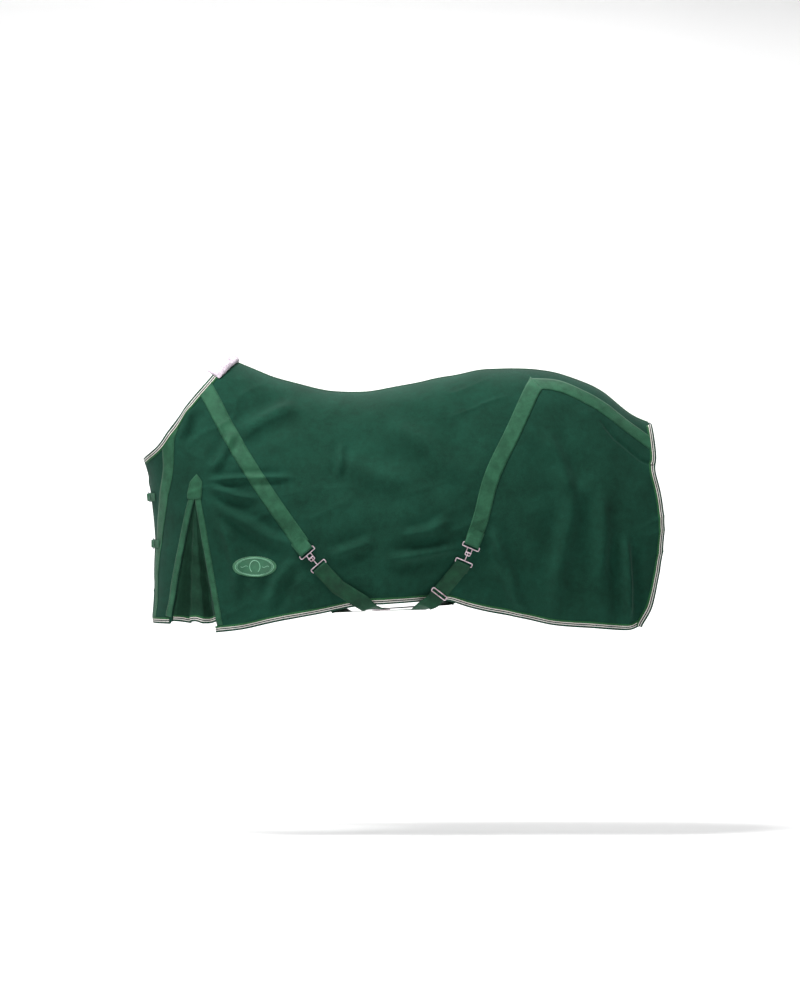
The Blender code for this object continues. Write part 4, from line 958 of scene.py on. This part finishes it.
def gusset_place(side):
    """The map for the gusset: it hangs behind the slit in deep pleats that open downwards."""
    cloth = cloth_place(side)

    def place(x, z, lift):
        front, rear = slit_edges(z)
        share = np.clip((x - front) / np.maximum(rear - front, 0.004), 0, 1)
        depth = PLEAT_DEPTH * ease((SLIT_TOP[1] - z) / 0.42)
        sink = np.interp(share, *zip(*PLEAT_PROFILE))
        wave = 0.002 * np.sin(9 * z / 0.1 + 7 * share) * ease((SLIT_TOP[1] - z) / 0.2)
        inner = ease(share / 0.06) * ease((1 - share) / 0.06)
        return cloth(x, z, lift + GUSSET_LIFT - depth * sink + wave * inner)

    return place


def gusset_floor(share):
    """The gusset's lower edge, a little above the rug's own hem and wavy."""
    return FRONT_HEM_Z + 0.005 + 0.004 * np.cos(2 * np.pi * PLEATS * share)


def make_gusset(label, side):
    """The pleated wedge behind the slit, with its bound hem."""
    place = gusset_place(side)
    rows, columns = 90, 110
    share, down = np.meshgrid(np.linspace(0, 1, columns), np.linspace(0, 1, rows))
    top = SLIT_TOP[1] + 0.008
    z = top + down * (gusset_floor(share) - top)
    front, rear = slit_edges(z)
    x = front - 0.008 + share * (rear - front + 0.016)
    flat = np.stack([x.ravel(), z.ravel()], 1)
    mesh = layer_mesh(flat, flat.copy(), grid_faces(rows, columns), place, -0.001, 0.001)
    cloth = add_piece(f"{label}_gusset_cloth", mesh, GUSSET_LOOK,
                      f"{label}_shoulder_gusset")
    share = np.linspace(0.02, 0.98, 80)
    z = gusset_floor(share)
    front, rear = slit_edges(z)
    line = np.stack([front + share * (rear - front), z], 1)
    mesh = binding_mesh(line, 1, place, -0.0004, 0.0016)
    hem = add_piece(f"{label}_gusset_hem_binding_soft", mesh, BINDING_LOOK)
    declare_sheet(cloth)


def spine_flat(x, s):
    """The side-view place at a signed distance s over the back, measured as a turn."""
    return x, read("back", x) - FULL_DEPTH * (1 - np.cos(np.abs(s)))


def over_back(x, s, lift):
    """Points over the back, with s below 0 on the near side."""
    x, z = spine_flat(x, s)
    near, off = cloth_place(-1)(x, z, lift), cloth_place(1)(x, z, lift)
    middle = np.abs(s) < 1e-9
    points = np.where((s < 0)[..., None], near, off)
    points[middle] = ((near + off) / 2)[middle]
    points[..., 1][middle] = 0.0
    return points


def closed_slab(x, s, low, high, uv):
    """A slab over the back from grids of places, closed round its rim."""
    top, bottom = (over_back(x.ravel(), s.ravel(), height.ravel()) for height in (high, low))
    return skins(top, bottom, grid_faces(*x.shape), uv)


def make_seam_tape():
    """The tape over the seam along the back."""
    rows, columns = 240, 9
    x = np.linspace(NECK_EDGE[0][0] + 0.004, REAR_EDGE[0][0] - 0.004, rows)[:, None]
    share = np.linspace(-1, 1, columns)[None, :]
    full = HALF_WIDTH * read("width", x)
    x, s = np.broadcast_arrays(x, share * SEAM_TAPE_WIDTH / 2 / full)
    uv = np.stack([x.ravel(), np.broadcast_to(share / 2 + 0.5, x.shape).ravel()], 1)
    low = np.full(x.shape, TAPE_LOW)
    mesh = closed_slab(x, s, low, low + TAPE + 0.0008, uv)
    add_piece("centre_back_seam_tape_soft", mesh, SEAM_LOOK)


FLEECE_REAR_X = -0.366
FLEECE_SLOPE = 0.76
FLEECE_WIDTH = 0.046
FLEECE_TURN = 0.56
FLEECE_PUFF = 0.013
PILE = [(noise_field(41, 0.0035, 1.4), 0.0014), (noise_field(42, 0.008, 1.4), 0.0020),
        (noise_field(43, 0.022, 1.4), 0.0022)]


def make_fleece():
    """The thick pile pad over the withers, rolled over the neck edge and puffed between its rims."""
    rows, columns = 230, 74
    turn = np.linspace(-1, 1, rows)[:, None]
    across = np.linspace(0, 1, columns)[None, :]
    s = np.broadcast_to(turn * FLEECE_TURN, (rows, columns))
    narrowing = np.sqrt(np.maximum(1 - np.abs(turn) ** 14, 0.02))
    drop = FULL_DEPTH * (1 - np.cos(np.abs(s)))
    rear_x = FLEECE_REAR_X - FLEECE_SLOPE * drop
    width = FLEECE_WIDTH - 0.10 * drop
    tilt = 0.10 * np.maximum(np.abs(turn) - 0.6, 0) * across
    s = s - np.sign(s) * tilt * -1
    x = rear_x - width * (1 - across) - 0.004 * (1 - narrowing)
    crown = np.maximum(1 - np.abs(2 * across - 1) ** 3.0, 0) ** 0.6 * narrowing
    bumps = sum(height * sample(x + 0.3, s * HALF_WIDTH) for sample, height in PILE)
    low = np.broadcast_to(CLOTH / 2 + GAP + BINDING + GAP + 0.0004, x.shape)
    high = low + 0.002 + FLEECE_PUFF * crown + bumps * (0.35 + 0.65 * crown)
    uv = np.stack([x.ravel(), s.ravel()], 1)
    mesh = closed_slab(x, s, low, np.maximum(high, low + 0.001), uv)
    obj = add_piece("withers_fleece", mesh, FLEECE_LOOK, "withers_fleece_pad")


def make_label():
    """An oval label with a raised rim, an inner line and a plain horseshoe motif."""
    place = cloth_place(-1)
    rings, spokes = 16, 96
    turn = np.linspace(0, 2 * np.pi, spokes, endpoint=False)
    share = np.linspace(0, 1, rings + 1)[1:]
    oval = np.stack([np.cos(turn) * LABEL_LENGTH / 2, np.sin(turn) * LABEL_HEIGHT / 2], 1)
    flat = np.concatenate([oval * r for r in share] + [[(0, 0)]]) + LABEL_CENTRE
    radius = np.concatenate([np.full(spokes, r) for r in share] + [[0]])
    around = np.concatenate([turn] * rings + [[0]]) / (2 * np.pi)
    uv = np.stack([around, radius], 1)
    mesh = layer_mesh(flat, uv, fan_faces(rings, spokes), place, TAPE_LOW, TAPE_LOW + LABEL_THICKNESS)
    add_piece("side_label_patch", mesh, label_material("oval_label"), "side_label")
    lines = ((label_oval(0.86), 0.0008), (label_oval(0.80), 0.0005), (label_shoe(0.30), 0.0011),
             (label_bar(0.50, 0.16), 0.0007), (label_bar(-0.50, 0.16), 0.0007))
    threads = [rope_mesh(line, place, radius) for line, radius in lines]
    motif = new_mesh("side_label_embroidery", *joined(threads), MOTIF_LOOK)
    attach(motif, "rug")


def label_oval(share):
    """A line round the label, at a share of its size."""
    turn = np.linspace(0, 2 * np.pi, 73)
    return np.stack([np.cos(turn) * share * LABEL_LENGTH / 2 + LABEL_CENTRE[0],
                     np.sin(turn) * share * LABEL_HEIGHT / 2 + LABEL_CENTRE[1]], 1)


def label_shoe(share):
    """A horseshoe's outline, open downwards."""
    turn = np.radians(np.linspace(-55, 235, 40))
    size = share * LABEL_HEIGHT
    return np.stack([np.cos(turn) * size * 0.85 + LABEL_CENTRE[0],
                     np.sin(turn) * size + LABEL_CENTRE[1]], 1)


def label_bar(share, reach):
    """A short wavy line beside the motif."""
    t = np.linspace(-1, 1, 16)
    return np.stack([LABEL_CENTRE[0] + share * LABEL_LENGTH / 2 + t * reach * LABEL_HEIGHT,
                     LABEL_CENTRE[1] + 0.0022 * np.sin(t * 3)], 1)


def thread_rings(line, place, heights, radius, sides, first):
    """Rings of places round a side-view line, and the line's own places in space."""
    centre = place(line[:, 0], line[:, 1], heights)
    up = (place(line[:, 0], line[:, 1], heights + 0.001) - centre) / 0.001
    across = np.cross(up, np.gradient(centre, axis=0))
    across /= np.maximum(np.linalg.norm(across, axis=1, keepdims=True), 1e-12)
    turn = (np.linspace(0, 2 * np.pi, sides, endpoint=False) + first)[None, :, None]
    ring = across[:, None] * np.cos(turn) + up[:, None] * np.sin(turn)
    return (centre[:, None] + ring * radius).reshape(-1, 3), centre


def rope_mesh(line, place, radius, sides=6):
    """A round thread lying on the label along a side-view line."""
    heights = np.full(len(line), TAPE_LOW + LABEL_THICKNESS)
    points, centre = thread_rings(line, place, heights, radius, sides, 0)
    along = np.concatenate([[0], np.cumsum(np.linalg.norm(np.diff(centre, axis=0), axis=1))])
    uv = np.stack(np.broadcast_arrays(along[:, None], np.linspace(0, 1, sides)[None]), -1)
    return points, tube_faces(len(line), sides), uv.reshape(-1, 2)


def label_material(name):
    """Woven satin: a green field with a paler rim, and fine rows of thread."""
    material, tree, shader = start_material(name, 0.5, Sheen_Weight=0.2, Sheen_Roughness=0.3)
    _, v = uv_parts(tree)
    where = coordinates(tree)
    field = ramp(tree, v, [(0.0, srgb(46, 104, 74)), (0.80, srgb(42, 96, 68)),
                                          (0.92, srgb(54, 112, 78))])
    worn = ramp(tree, noise(tree, where, 90.0, 4.0), [(0.3, (0.82, 0.82, 0.82, 1)),
                                                     (0.7, (1.1, 1.1, 1.1, 1))])
    rows = node(tree, "ShaderNodeTexWave", {"Vector": where, "Scale": 520.0},
                bands_direction="Z").outputs["Fac"]
    colour = mix(tree, 1.0, field, worn, "MULTIPLY")
    rough = blend(tree, (rows, 0.15), 0.42)
    return finish_material(material, tree, shader, colour, rows, 0.3, 0.0003, rough)


MOTIF_LOOK = woven_material("label_thread", srgb(150, 200, 172), srgb(110, 168, 138), 900.0)


def vec(point):
    return Vector(tuple(float(v) for v in point))


def at_body(x, z, side, lift):
    """A place on the unfolded body, as a vector."""
    return vec(body_place(side)(np.array([x]), np.array([z]), np.array([lift]))[0])


def at_cloth(x, z, side, lift):
    """A place on the folded cloth, as a vector."""
    return vec(cloth_place(side)(np.array([x]), np.array([z]), np.array([lift]))[0])


def body_normal(x, z, side):
    return vec(normal(np.array([x]), np.array([z]), side)[0])


def side_frame(points, side, lift):
    """A frame on the cloth: X along the strap, Y across it and Z out of the cloth."""
    (x0, z0), (x1, z1) = points
    start = at_body(x0, z0, side, lift)
    along = (at_body(x1, z1, side, lift) - start).normalized()
    out = body_normal((x0 + x1) / 2, (z0 + z1) / 2, side)
    across = out.cross(along).normalized()
    out = along.cross(across)
    frame = Matrix((along, across, out)).transposed().to_4x4()
    frame.translation = start
    return frame


def straightened(stops, normals, ease_length=0.014):
    """Adds stops near both ends of each long run, so that a smooth curve keeps the run straight."""
    more_stops, more_normals = [stops[0]], [normals[0]]
    for i in range(1, len(stops)):
        run = stops[i] - stops[i - 1]
        if run.length > 3.2 * ease_length:
            for share in (ease_length / run.length, 0.5, 1 - ease_length / run.length):
                more_stops.append(stops[i - 1] + run * share)
                more_normals.append(normals[i - 1].lerp(normals[i], share).normalized())
        more_stops.append(stops[i])
        more_normals.append(normals[i])
    return more_stops, more_normals


def ribbon_mesh(stops, normals, width, thickness, step=0.005, columns=7, crown=0.0002):
    """A flat strap along smooth stops, with rounded edges, as (points, faces, uv)."""
    line, at = resample([tuple(p) for p in stops], step)
    knots = np.concatenate([[0], np.cumsum([(b - a).length for a, b in zip(stops, stops[1:])])])
    share = at / at[-1] * knots[-1]
    ups = np.stack([np.interp(share, knots, [n[k] for n in normals]) for k in range(3)], 1)
    ahead = np.gradient(line, axis=0)
    ahead /= np.linalg.norm(ahead, axis=1, keepdims=True)
    across = np.cross(ups, ahead)
    across /= np.linalg.norm(across, axis=1, keepdims=True)
    ups = np.cross(ahead, across)
    spread = np.linspace(-1, 1, columns)
    bulge = thickness / 2 * (1 - 0.5 * np.abs(spread) ** 6) + crown * (1 - spread ** 2)
    w = np.concatenate([spread, spread[::-1]])
    h = np.concatenate([bulge, -bulge[::-1]])
    points = (line[:, None] + across[:, None] * (w * width / 2)[None, :, None]
              + ups[:, None] * h[None, :, None])
    faces = tube_faces(*points.shape[:2])
    uv = np.stack(np.broadcast_arrays(at[:, None], (w / 2 + 0.5)[None]), -1)
    return points.reshape(-1, 3), faces, uv.reshape(-1, 2)


def bar_wrap(frame, toward, thickness):
    """Stops that go round a clip's bar and lie back on the strap; toward is the strap's side in X."""
    radius = CLIP_WIRE / 2 + 0.0006 + thickness / 2
    stops, normals = [], []
    for turn in np.radians(np.linspace(90, -80, 8)):
        direction = Vector((-toward * math.cos(turn), 0, math.sin(turn)))
        stops.append(frame @ (direction * radius))
        normals.append(frame.to_3x3() @ direction)
    return stops, normals


def web_lead(frame, points):
    """The near webbing's end: from the flat cloth up to the clip's bar, round it and back."""
    (x0, z0), (x1, z1) = points
    run = math.dist(*points)
    back = ((x0 - x1) / run, (z0 - z1) / run)
    low = TAPE_LOW + WEBBING / 2
    stops, normals = [], []
    for distance, lift in ((0.060, low + 0.0004), (0.050, low + 0.0010), (0.040, low + 0.0018)):
        x, z = x0 + back[0] * distance, z0 + back[1] * distance
        stops.append(at_cloth(x, z, -1, lift))
        normals.append(body_normal(x, z, -1))
    x, z = x0 + back[0] * 0.026, z0 + back[1] * 0.026
    blend = at_cloth(x, z, -1, low + 0.003) * 0.5 + (frame @ Vector((-0.014, 0, 0.0015))) * 0.5
    stops.append(blend)
    normals.append(body_normal(x, z, -1))
    wrap_stops, wrap_normals = bar_wrap(frame, -1, WEBBING)
    tail = [frame @ Vector((-0.012, 0, -0.0028)), frame @ Vector((-0.022, 0, -0.0050))]
    up = frame.to_3x3() @ Vector((0, 0, 1))
    upper = ribbon_mesh(stops + wrap_stops[:4], normals + wrap_normals[:4], WEB_WIDTH - 0.0006,
                        WEBBING, 0.0025)
    lower = ribbon_mesh(wrap_stops[3:] + tail, wrap_normals[3:] + [-up, -up],
                        WEB_WIDTH - 0.0008, WEBBING, 0.0025)
    return joined([upper, lower])


def belly_path(which):
    """The belly strap's stops beyond its clip: down the near side, under the belly and up the off."""
    low = CLIP_HEIGHT + 0.0015
    sewn = TAPE_LOW + WEBBING + 0.0009

    def side_stop(x, z, side, lift, folded=False):
        found = at_cloth if folded else at_body
        return found(x, z, side, lift), body_normal(x, z, side)

    def under_stop(x, y, z, direction):
        return Vector((x, y * HALF_WIDTH, z)), Vector(direction).normalized()

    if which == "front":
        return [side_stop(-0.036, -0.617, -1, low), side_stop(0.040, -0.664, -1, low),
                under_stop(0.060, -0.900, -0.6835, (0, -0.7, -0.7)),
                under_stop(0.085, -0.754, -0.689, (0, -0.1, -1)),
                under_stop(0.136, -0.377, -0.6883, (0, 0, -1)),
                under_stop(0.1875, 0.0, -0.6875, (0, 0, -1)),
                under_stop(0.290, 0.754, -0.686, (0, 0.1, -1)),
                under_stop(0.312, 0.895, -0.676, (0, 0.7, -0.7)),
                side_stop(0.330, -0.645, 1, low), side_stop(0.357, -0.565, 1, low),
                side_stop(0.378, -0.500, 1, 0.0075, True), side_stop(0.390, -0.462, 1, sewn, True),
                side_stop(0.400, -0.430, 1, sewn, True)]
    return [side_stop(0.262, -0.6575, -1, low),
            under_stop(0.238, -0.890, -0.6755, (0, -0.7, -0.7)),
            under_stop(0.215, -0.754, -0.690, (0, -0.1, -1)),
            under_stop(0.097, 0.0, -0.699, (0, 0, -1)),
            under_stop(-0.022, 0.754, -0.709, (0, 0.1, -1)),
            under_stop(-0.044, 0.895, -0.7035, (0, 0.7, -0.7)),
            side_stop(-0.057, -0.672, 1, low), side_stop(-0.100, -0.575, 1, low),
            side_stop(-0.1345, -0.508, 1, 0.0075, True), side_stop(-0.160, -0.468, 1, sewn, True),
            side_stop(-0.182, -0.434, 1, sewn, True)]


CLIP_LOOP = 0.012
CLIP_SPAN = 0.0436


def clip_frames(points):
    """The frames of a clip's two bars."""
    frame = side_frame(points, -1, CLIP_HEIGHT)
    return frame @ Matrix.Translation((-CLIP_LOOP, 0, 0)), frame @ Matrix.Translation(
        (CLIP_SPAN + CLIP_LOOP, 0, 0))


def make_belly_strap(label, points):
    """A strap from its clip, under the belly, to the off side."""
    _, far = clip_frames(points)
    path = belly_path(label)
    up = far.to_3x3() @ Vector((0, 0, 1))
    wrap_stops, wrap_normals = bar_wrap(far, 1, WEBBING)
    bar = far @ Vector((CLIP_WIRE / 2 + 0.0009, 0, 0))
    first = [(bar.lerp(path[0][0], 0.10), up)]
    stops = wrap_stops[:4][::-1] + [p for p, _ in first + path]
    normals = wrap_normals[:4][::-1] + [n for _, n in first + path]
    stops, normals = straightened(stops, normals)
    strap = ribbon_mesh(stops, normals, WEB_WIDTH, WEBBING)
    tail = [far @ Vector((0.012, 0, -0.0030)), far @ Vector((0.024, 0, -0.0032))]
    under = ribbon_mesh(wrap_stops[3:] + tail, wrap_normals[3:] + [-up, -up], WEB_WIDTH - 0.0006,
                        WEBBING, 0.0025)
    obj = add_piece(f"{label}_belly_strap_soft", joined([strap, under]), STRAP_LOOK)


LEADS = {"front_surcingle": web_lead(clip_frames(FRONT_CLIP)[0], FRONT_CLIP),
         "rear_surcingle": web_lead(clip_frames(REAR_CLIP)[0], REAR_CLIP)}


def keep_metal():
    """The wire clips, slides and buckles stay as the CAD solids, with plated metal on them."""
    for name in frame["nodes"]:
        if "clip" in name or "adjuster" in name:
            dress(name, NICKEL_LOOK)
        elif "buckle" in name and "chape" not in name:
            dress(name, DARK_LOOK)


def dress(name, look):
    """Puts a material on every slot of a CAD object."""
    obj = bpy.data.objects[name]
    if not obj.material_slots:
        obj.data.materials.append(look)
    for held in obj.material_slots:
        held.material = look


HEEL_Y = -0.022
BUCKLE_LIFT = 0.0058
LOOSE_LIFT = 0.0049
SEWN_REACH = {"upper": 0.085, "lower": 0.056}
CHEST_HEIGHTS = {"upper": -0.334, "lower": -0.4835}


def chest_point(y, z, lift):
    """A place in front of the chest's folded cloth, and the way it faces."""
    side = -1 if y < 0 else 1
    reach = max(abs(y), 0.010)
    depth = max(float(read("back", -0.6)) - z, 0) / FULL_DEPTH
    x_front = float(read("front", z))
    full = HALF_WIDTH * float(read("width", x_front))
    power = float(read("round", x_front))
    if depth < 1:
        full *= (1 - (1 - depth) ** power) ** (1 / power)
    share = 1 - math.sqrt(1 - min(reach / full, 0.99) ** 2)
    x = x_front + share * (CHEST_BACK_X - x_front)
    facing = body_normal(x, z, side)
    if abs(y) < 0.02:
        facing = (facing * abs(y) + Vector((-1, 0, 0)) * (0.02 - abs(y))).normalized()
    base = at_body(x, z, side, CLOTH / 2)
    base.y = y
    return base + facing * lift, facing


def make_chest_closure(label, z):
    """The strap from the off side through the buckle, and the folded tab that holds the buckle."""
    sewn = 2 * GAP + CHEST_STRAP / 2 + 0.0022
    reach = SEWN_REACH[label]
    stops = [(0.006 + (reach - 0.006) * i / 6, sewn) for i in range(6, -1, -1)]
    stops += [(-0.0017, 0.0040), (-0.0197, 0.0124), (-0.022, 0.0130), (-0.0265, 0.0124),
              (-0.036, 0.0085), (-0.046, LOOSE_LIFT + 0.001), (-0.062, LOOSE_LIFT + 0.001),
              (-0.080, LOOSE_LIFT + 0.001), (-0.098, LOOSE_LIFT + 0.0012)]
    found = [chest_point(y, z, lift) for y, lift in stops]
    mesh = ribbon_mesh([p for p, _ in found], [n for _, n in found], CHEST_STRAP_WIDTH,
                       CHEST_STRAP, 0.003)
    strap = add_piece(f"{label}_chest_strap_soft", mesh, WEB_LOOK)
    low = 2 * GAP + WEBBING / 2 + 0.0014
    stops = [(HEEL_Y - 0.0030, BUCKLE_LIFT + 0.0008), (-0.034, 0.0040), (-0.041, low),
             (-0.055, low), (-reach, low)]
    found = [chest_point(y, z, lift) for y, lift in stops]
    mesh = ribbon_mesh([p for p, _ in found], [n for _, n in found], CHEST_STRAP_WIDTH, WEBBING,
                       0.003)
    add_piece(f"{label}_chape", joined([mesh, heel_wrap(z)]), WEB_LOOK,
              f"{label}_buckle_chape")


def heel_wrap(z):
    """The tab's fold round the buckle's heel bar."""
    centre, facing = chest_point(HEEL_Y, z, BUCKLE_LIFT)
    along = facing.cross(Vector((0, 0, 1))).normalized()
    stops, normals = [], []
    for turn in np.radians(np.linspace(-80, 260, 14)):
        direction = along * math.cos(turn) + facing * math.sin(turn)
        stops.append(centre + direction * 0.0034)
        normals.append(direction)
    return ribbon_mesh(stops, normals, CHEST_STRAP_WIDTH - 0.001, 0.0009, 0.001)


def make_keeper(label, z):
    """The loop of webbing that holds the strap's loose end down."""
    half, rise = (CHEST_STRAP_WIDTH + 0.004) / 2, 0.0030
    centre, facing = chest_point(-0.0525, z, LOOSE_LIFT + 0.001)
    up = Vector((0, 0, 1))
    stops, normals = [], []
    for turn in np.linspace(0, 2 * np.pi, 29):
        c, s = math.cos(turn), math.sin(turn)
        w = math.copysign(abs(c) ** 0.25, c) * half
        h = math.copysign(abs(s) ** 0.35, s) * rise
        stops.append(centre + up * w + facing * h)
        normals.append((up * c * 0.6 + facing * s).normalized())
    mesh = ribbon_mesh(stops, normals, 0.011, 0.0012, 0.0015, 5, 0.0)
    add_piece(f"{label}_keeper", mesh, KEEPER_LOOK, f"{label}_strap_keeper")


def stitch_mesh(line, place, lift, length=0.0042, pitch=0.0062, radius=0.00038):
    """A row of stitches along a side-view line."""
    line, at = resample(line, pitch / 4)
    starts = np.arange(0, at[-1] - length, pitch)
    parts = []
    for start in starts:
        t = np.linspace(start, start + length, 4)
        piece = np.stack([np.interp(t, at, line[:, k]) for k in (0, 1)], 1)
        heights = lift + np.array([-0.0003, 0.0002, 0.0002, -0.0003])
        parts.append(stitch_points(piece, place, heights, radius))
    return joined(parts)


def stitch_points(piece, place, heights, radius, sides=4):
    """One stitch: a short square thread, turned so that an edge doesn't face up."""
    points, _ = thread_rings(piece, place, heights, radius, sides, np.pi / 4)
    return points, tube_faces(len(piece), sides), np.zeros((len(points), 2)) + 0.5


def shifted(line, distance):
    """A side-view line moved sideways, to the left of its run where distance is above 0."""
    line, _ = resample(line, 0.01)
    return line + sideways(line) * distance


def make_stitching(label, side):
    """The rows of thread along both edges of each webbing and tape, and the box stitches."""
    place = cloth_place(side)
    inset = WEB_WIDTH / 2 - 0.004
    web_lift = TAPE_LOW + WEBBING
    tape_lift = TAPE_LOW + TAPE
    rows = []
    for line, reach in ((FRONT_WEB[1:], inset), (REAR_WEB[1:], inset),
                        (CROUP_WEB[1:], CROUP_SIDE_WIDTH / 2 - 0.003)):
        for edge in (-1, 1):
            rows.append(stitch_mesh(shifted(line, edge * reach), place, web_lift))
    for foot, outward in ((SLIT_FRONT_FOOT, -1), (SLIT_REAR_FOOT, 1)):
        line = leg_line(foot, outward)
        for edge in (-1, 1):
            rows.append(stitch_mesh(shifted(line, edge * (GUSSET_TAPE_WIDTH / 2 - 0.0025)), place,
                                    tape_lift))
    centre = np.mean(PATCH, axis=0)
    patch = [tuple(centre + (np.array(p) - centre) * 0.88) for p in PATCH + PATCH[:1]]
    rows.append(stitch_mesh(polygon_rim(patch[:-1], 60), place, tape_lift + TAPE))
    for line, at in ((FRONT_WEB, 0.90), (REAR_WEB, 0.90)):
        rows += box_stitch(line, at, place, web_lift)
    if side < 0:
        rows.append(stitch_mesh(label_oval(0.97), place, TAPE_LOW + 0.0011))
    obj = new_mesh(f"{label}_stitching", *joined(rows), THREAD_LOOK)
    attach(obj, "rug")
    return obj


def box_stitch(line, at, place, lift):
    """A square of stitches with a cross in it, near a webbing's end."""
    line, _ = resample(line, 0.005)
    index = int(at * (len(line) - 1))
    centre = line[index]
    ahead = line[index] - line[index - 4]
    ahead = ahead / np.linalg.norm(ahead)
    side = np.array([-ahead[1], ahead[0]])
    half = WEB_WIDTH / 2 - 0.006
    corners = [centre + ahead * a * half + side * b * half for a, b in (
        (-1, -1), (1, -1), (1, 1), (-1, 1))]
    runs = list(zip(corners, corners[1:] + corners[:1])) + [(corners[0], corners[2]),
                                                          (corners[1], corners[3])]
    return [stitch_mesh([tuple(a), tuple((a + b) / 2), tuple(b)], place, lift) for a, b in runs]


def declare_side(label, stitching):
    """Passes a side's panel cloth to declare_sheet, which leaves it as it is."""
    panel = bpy.data.objects[f"{label}_panel_cloth"]
    declare_sheet(panel)


def area_light(name, place, size, power):
    """A white disk light that points at the rug."""
    data = bpy.data.lights.new(name, "AREA")
    data.shape = "DISK"
    data.size = size
    data.energy = power
    obj = bpy.data.objects.new(name, data)
    bpy.context.scene.collection.objects.link(obj)
    obj.location = place
    ahead = Vector(LIGHT_TARGET) - Vector(place)
    obj.rotation_euler = ahead.to_track_quat("-Z", "Y").to_euler()


FLOOR_Z = -1.42
FLOOR_FRONT_Y = -14
FLOOR_DEPTH = 22
FLOOR_HALF_WIDTH = 12
FLOOR_ROWS = 60
CURVE_START_Y = 3.0
CURVE_RUN = 5.0
CURVE_RISE = 7.0
WORLD_STRENGTH = 0.30
LIGHT_TARGET = (0.15, 0, -0.35)
LIGHTS = [("key", (-1.7, -1.9, 5.2), 2.4, 640), ("fill", (2.6, -5.0, 3.0), 3.0, 45),
          ("back", (0.5, 4.0, 4.2), 3.0, 260)]
SENSOR_WIDTH = 36
VIEW_CENTRE = (0.1575, -0.334)
VIEW_DISTANCE = 16.0
VIEW_HEIGHT = 3.131


def make_floor():
    """A pale floor that curves up behind."""
    points = []
    for i in range(FLOOR_ROWS):
        y = FLOOR_FRONT_Y + FLOOR_DEPTH * i / (FLOOR_ROWS - 1)
        rise = max(0.0, (y - CURVE_START_Y) / CURVE_RUN)
        z = FLOOR_Z + CURVE_RISE * rise * rise
        points += [(-FLOOR_HALF_WIDTH, y, z), (FLOOR_HALF_WIDTH, y, z)]
    material, tree, shader = start_material("studio_floor", 0.9)
    where = coordinates(tree)
    tone = ramp(tree, noise(tree, where, 0.8, 2.0), [(0.3, (0.90, 0.90, 0.90, 1)),
                                                    (0.7, (0.93, 0.93, 0.93, 1))])
    finish_material(material, tree, shader, tone)
    new_mesh("studio_floor", points, grid_faces(FLOOR_ROWS, 2), None, material)


def make_camera():
    """The camera at the near side, level with the rug's middle."""
    data = bpy.data.cameras.new("photo_camera")
    data.type = "PERSP"
    data.sensor_width = SENSOR_WIDTH
    data.sensor_fit = "AUTO"
    data.clip_end = 100
    data.lens = SENSOR_WIDTH * (VIEW_DISTANCE - HALF_WIDTH) / VIEW_HEIGHT
    camera = bpy.data.objects.new("photo_camera", data)
    bpy.context.scene.collection.objects.link(camera)
    camera.location = (VIEW_CENTRE[0], -VIEW_DISTANCE, VIEW_CENTRE[1])
    camera.rotation_euler = (math.pi / 2, 0, 0)
    bpy.context.scene.camera = camera
    bpy.context.scene.view_settings.view_transform = "Standard"


def make_stage():
    """The floor, a dim white world, the soft lights and the camera."""
    make_floor()
    world = bpy.data.worlds.new("studio")
    bpy.context.scene.world = world
    world.use_nodes = True
    background = world.node_tree.nodes["Background"]
    background.inputs["Color"].default_value = (1, 1, 1, 1)
    background.inputs["Strength"].default_value = WORLD_STRENGTH
    for name, place, size, power in LIGHTS:
        area_light(name, place, size, power)
    make_camera()


def main():
    """Makes every piece, then the stage."""
    for label, side in SIDES.items():
        make_panel(label, side)
        make_bindings(label, side)
        make_webbings(label, side)
        make_tapes(label, side)
        make_gusset(label, side)
    make_seam_tape()
    make_fleece()
    make_label()
    for label, points in (("front", FRONT_CLIP), ("rear", REAR_CLIP)):
        make_belly_strap(label, points)
    for label, height in CHEST_HEIGHTS.items():
        make_chest_closure(label, height)
        make_keeper(label, height)
    for label, side in SIDES.items():
        declare_side(label, make_stitching(label, side))
    keep_metal()
    make_stage()


main()
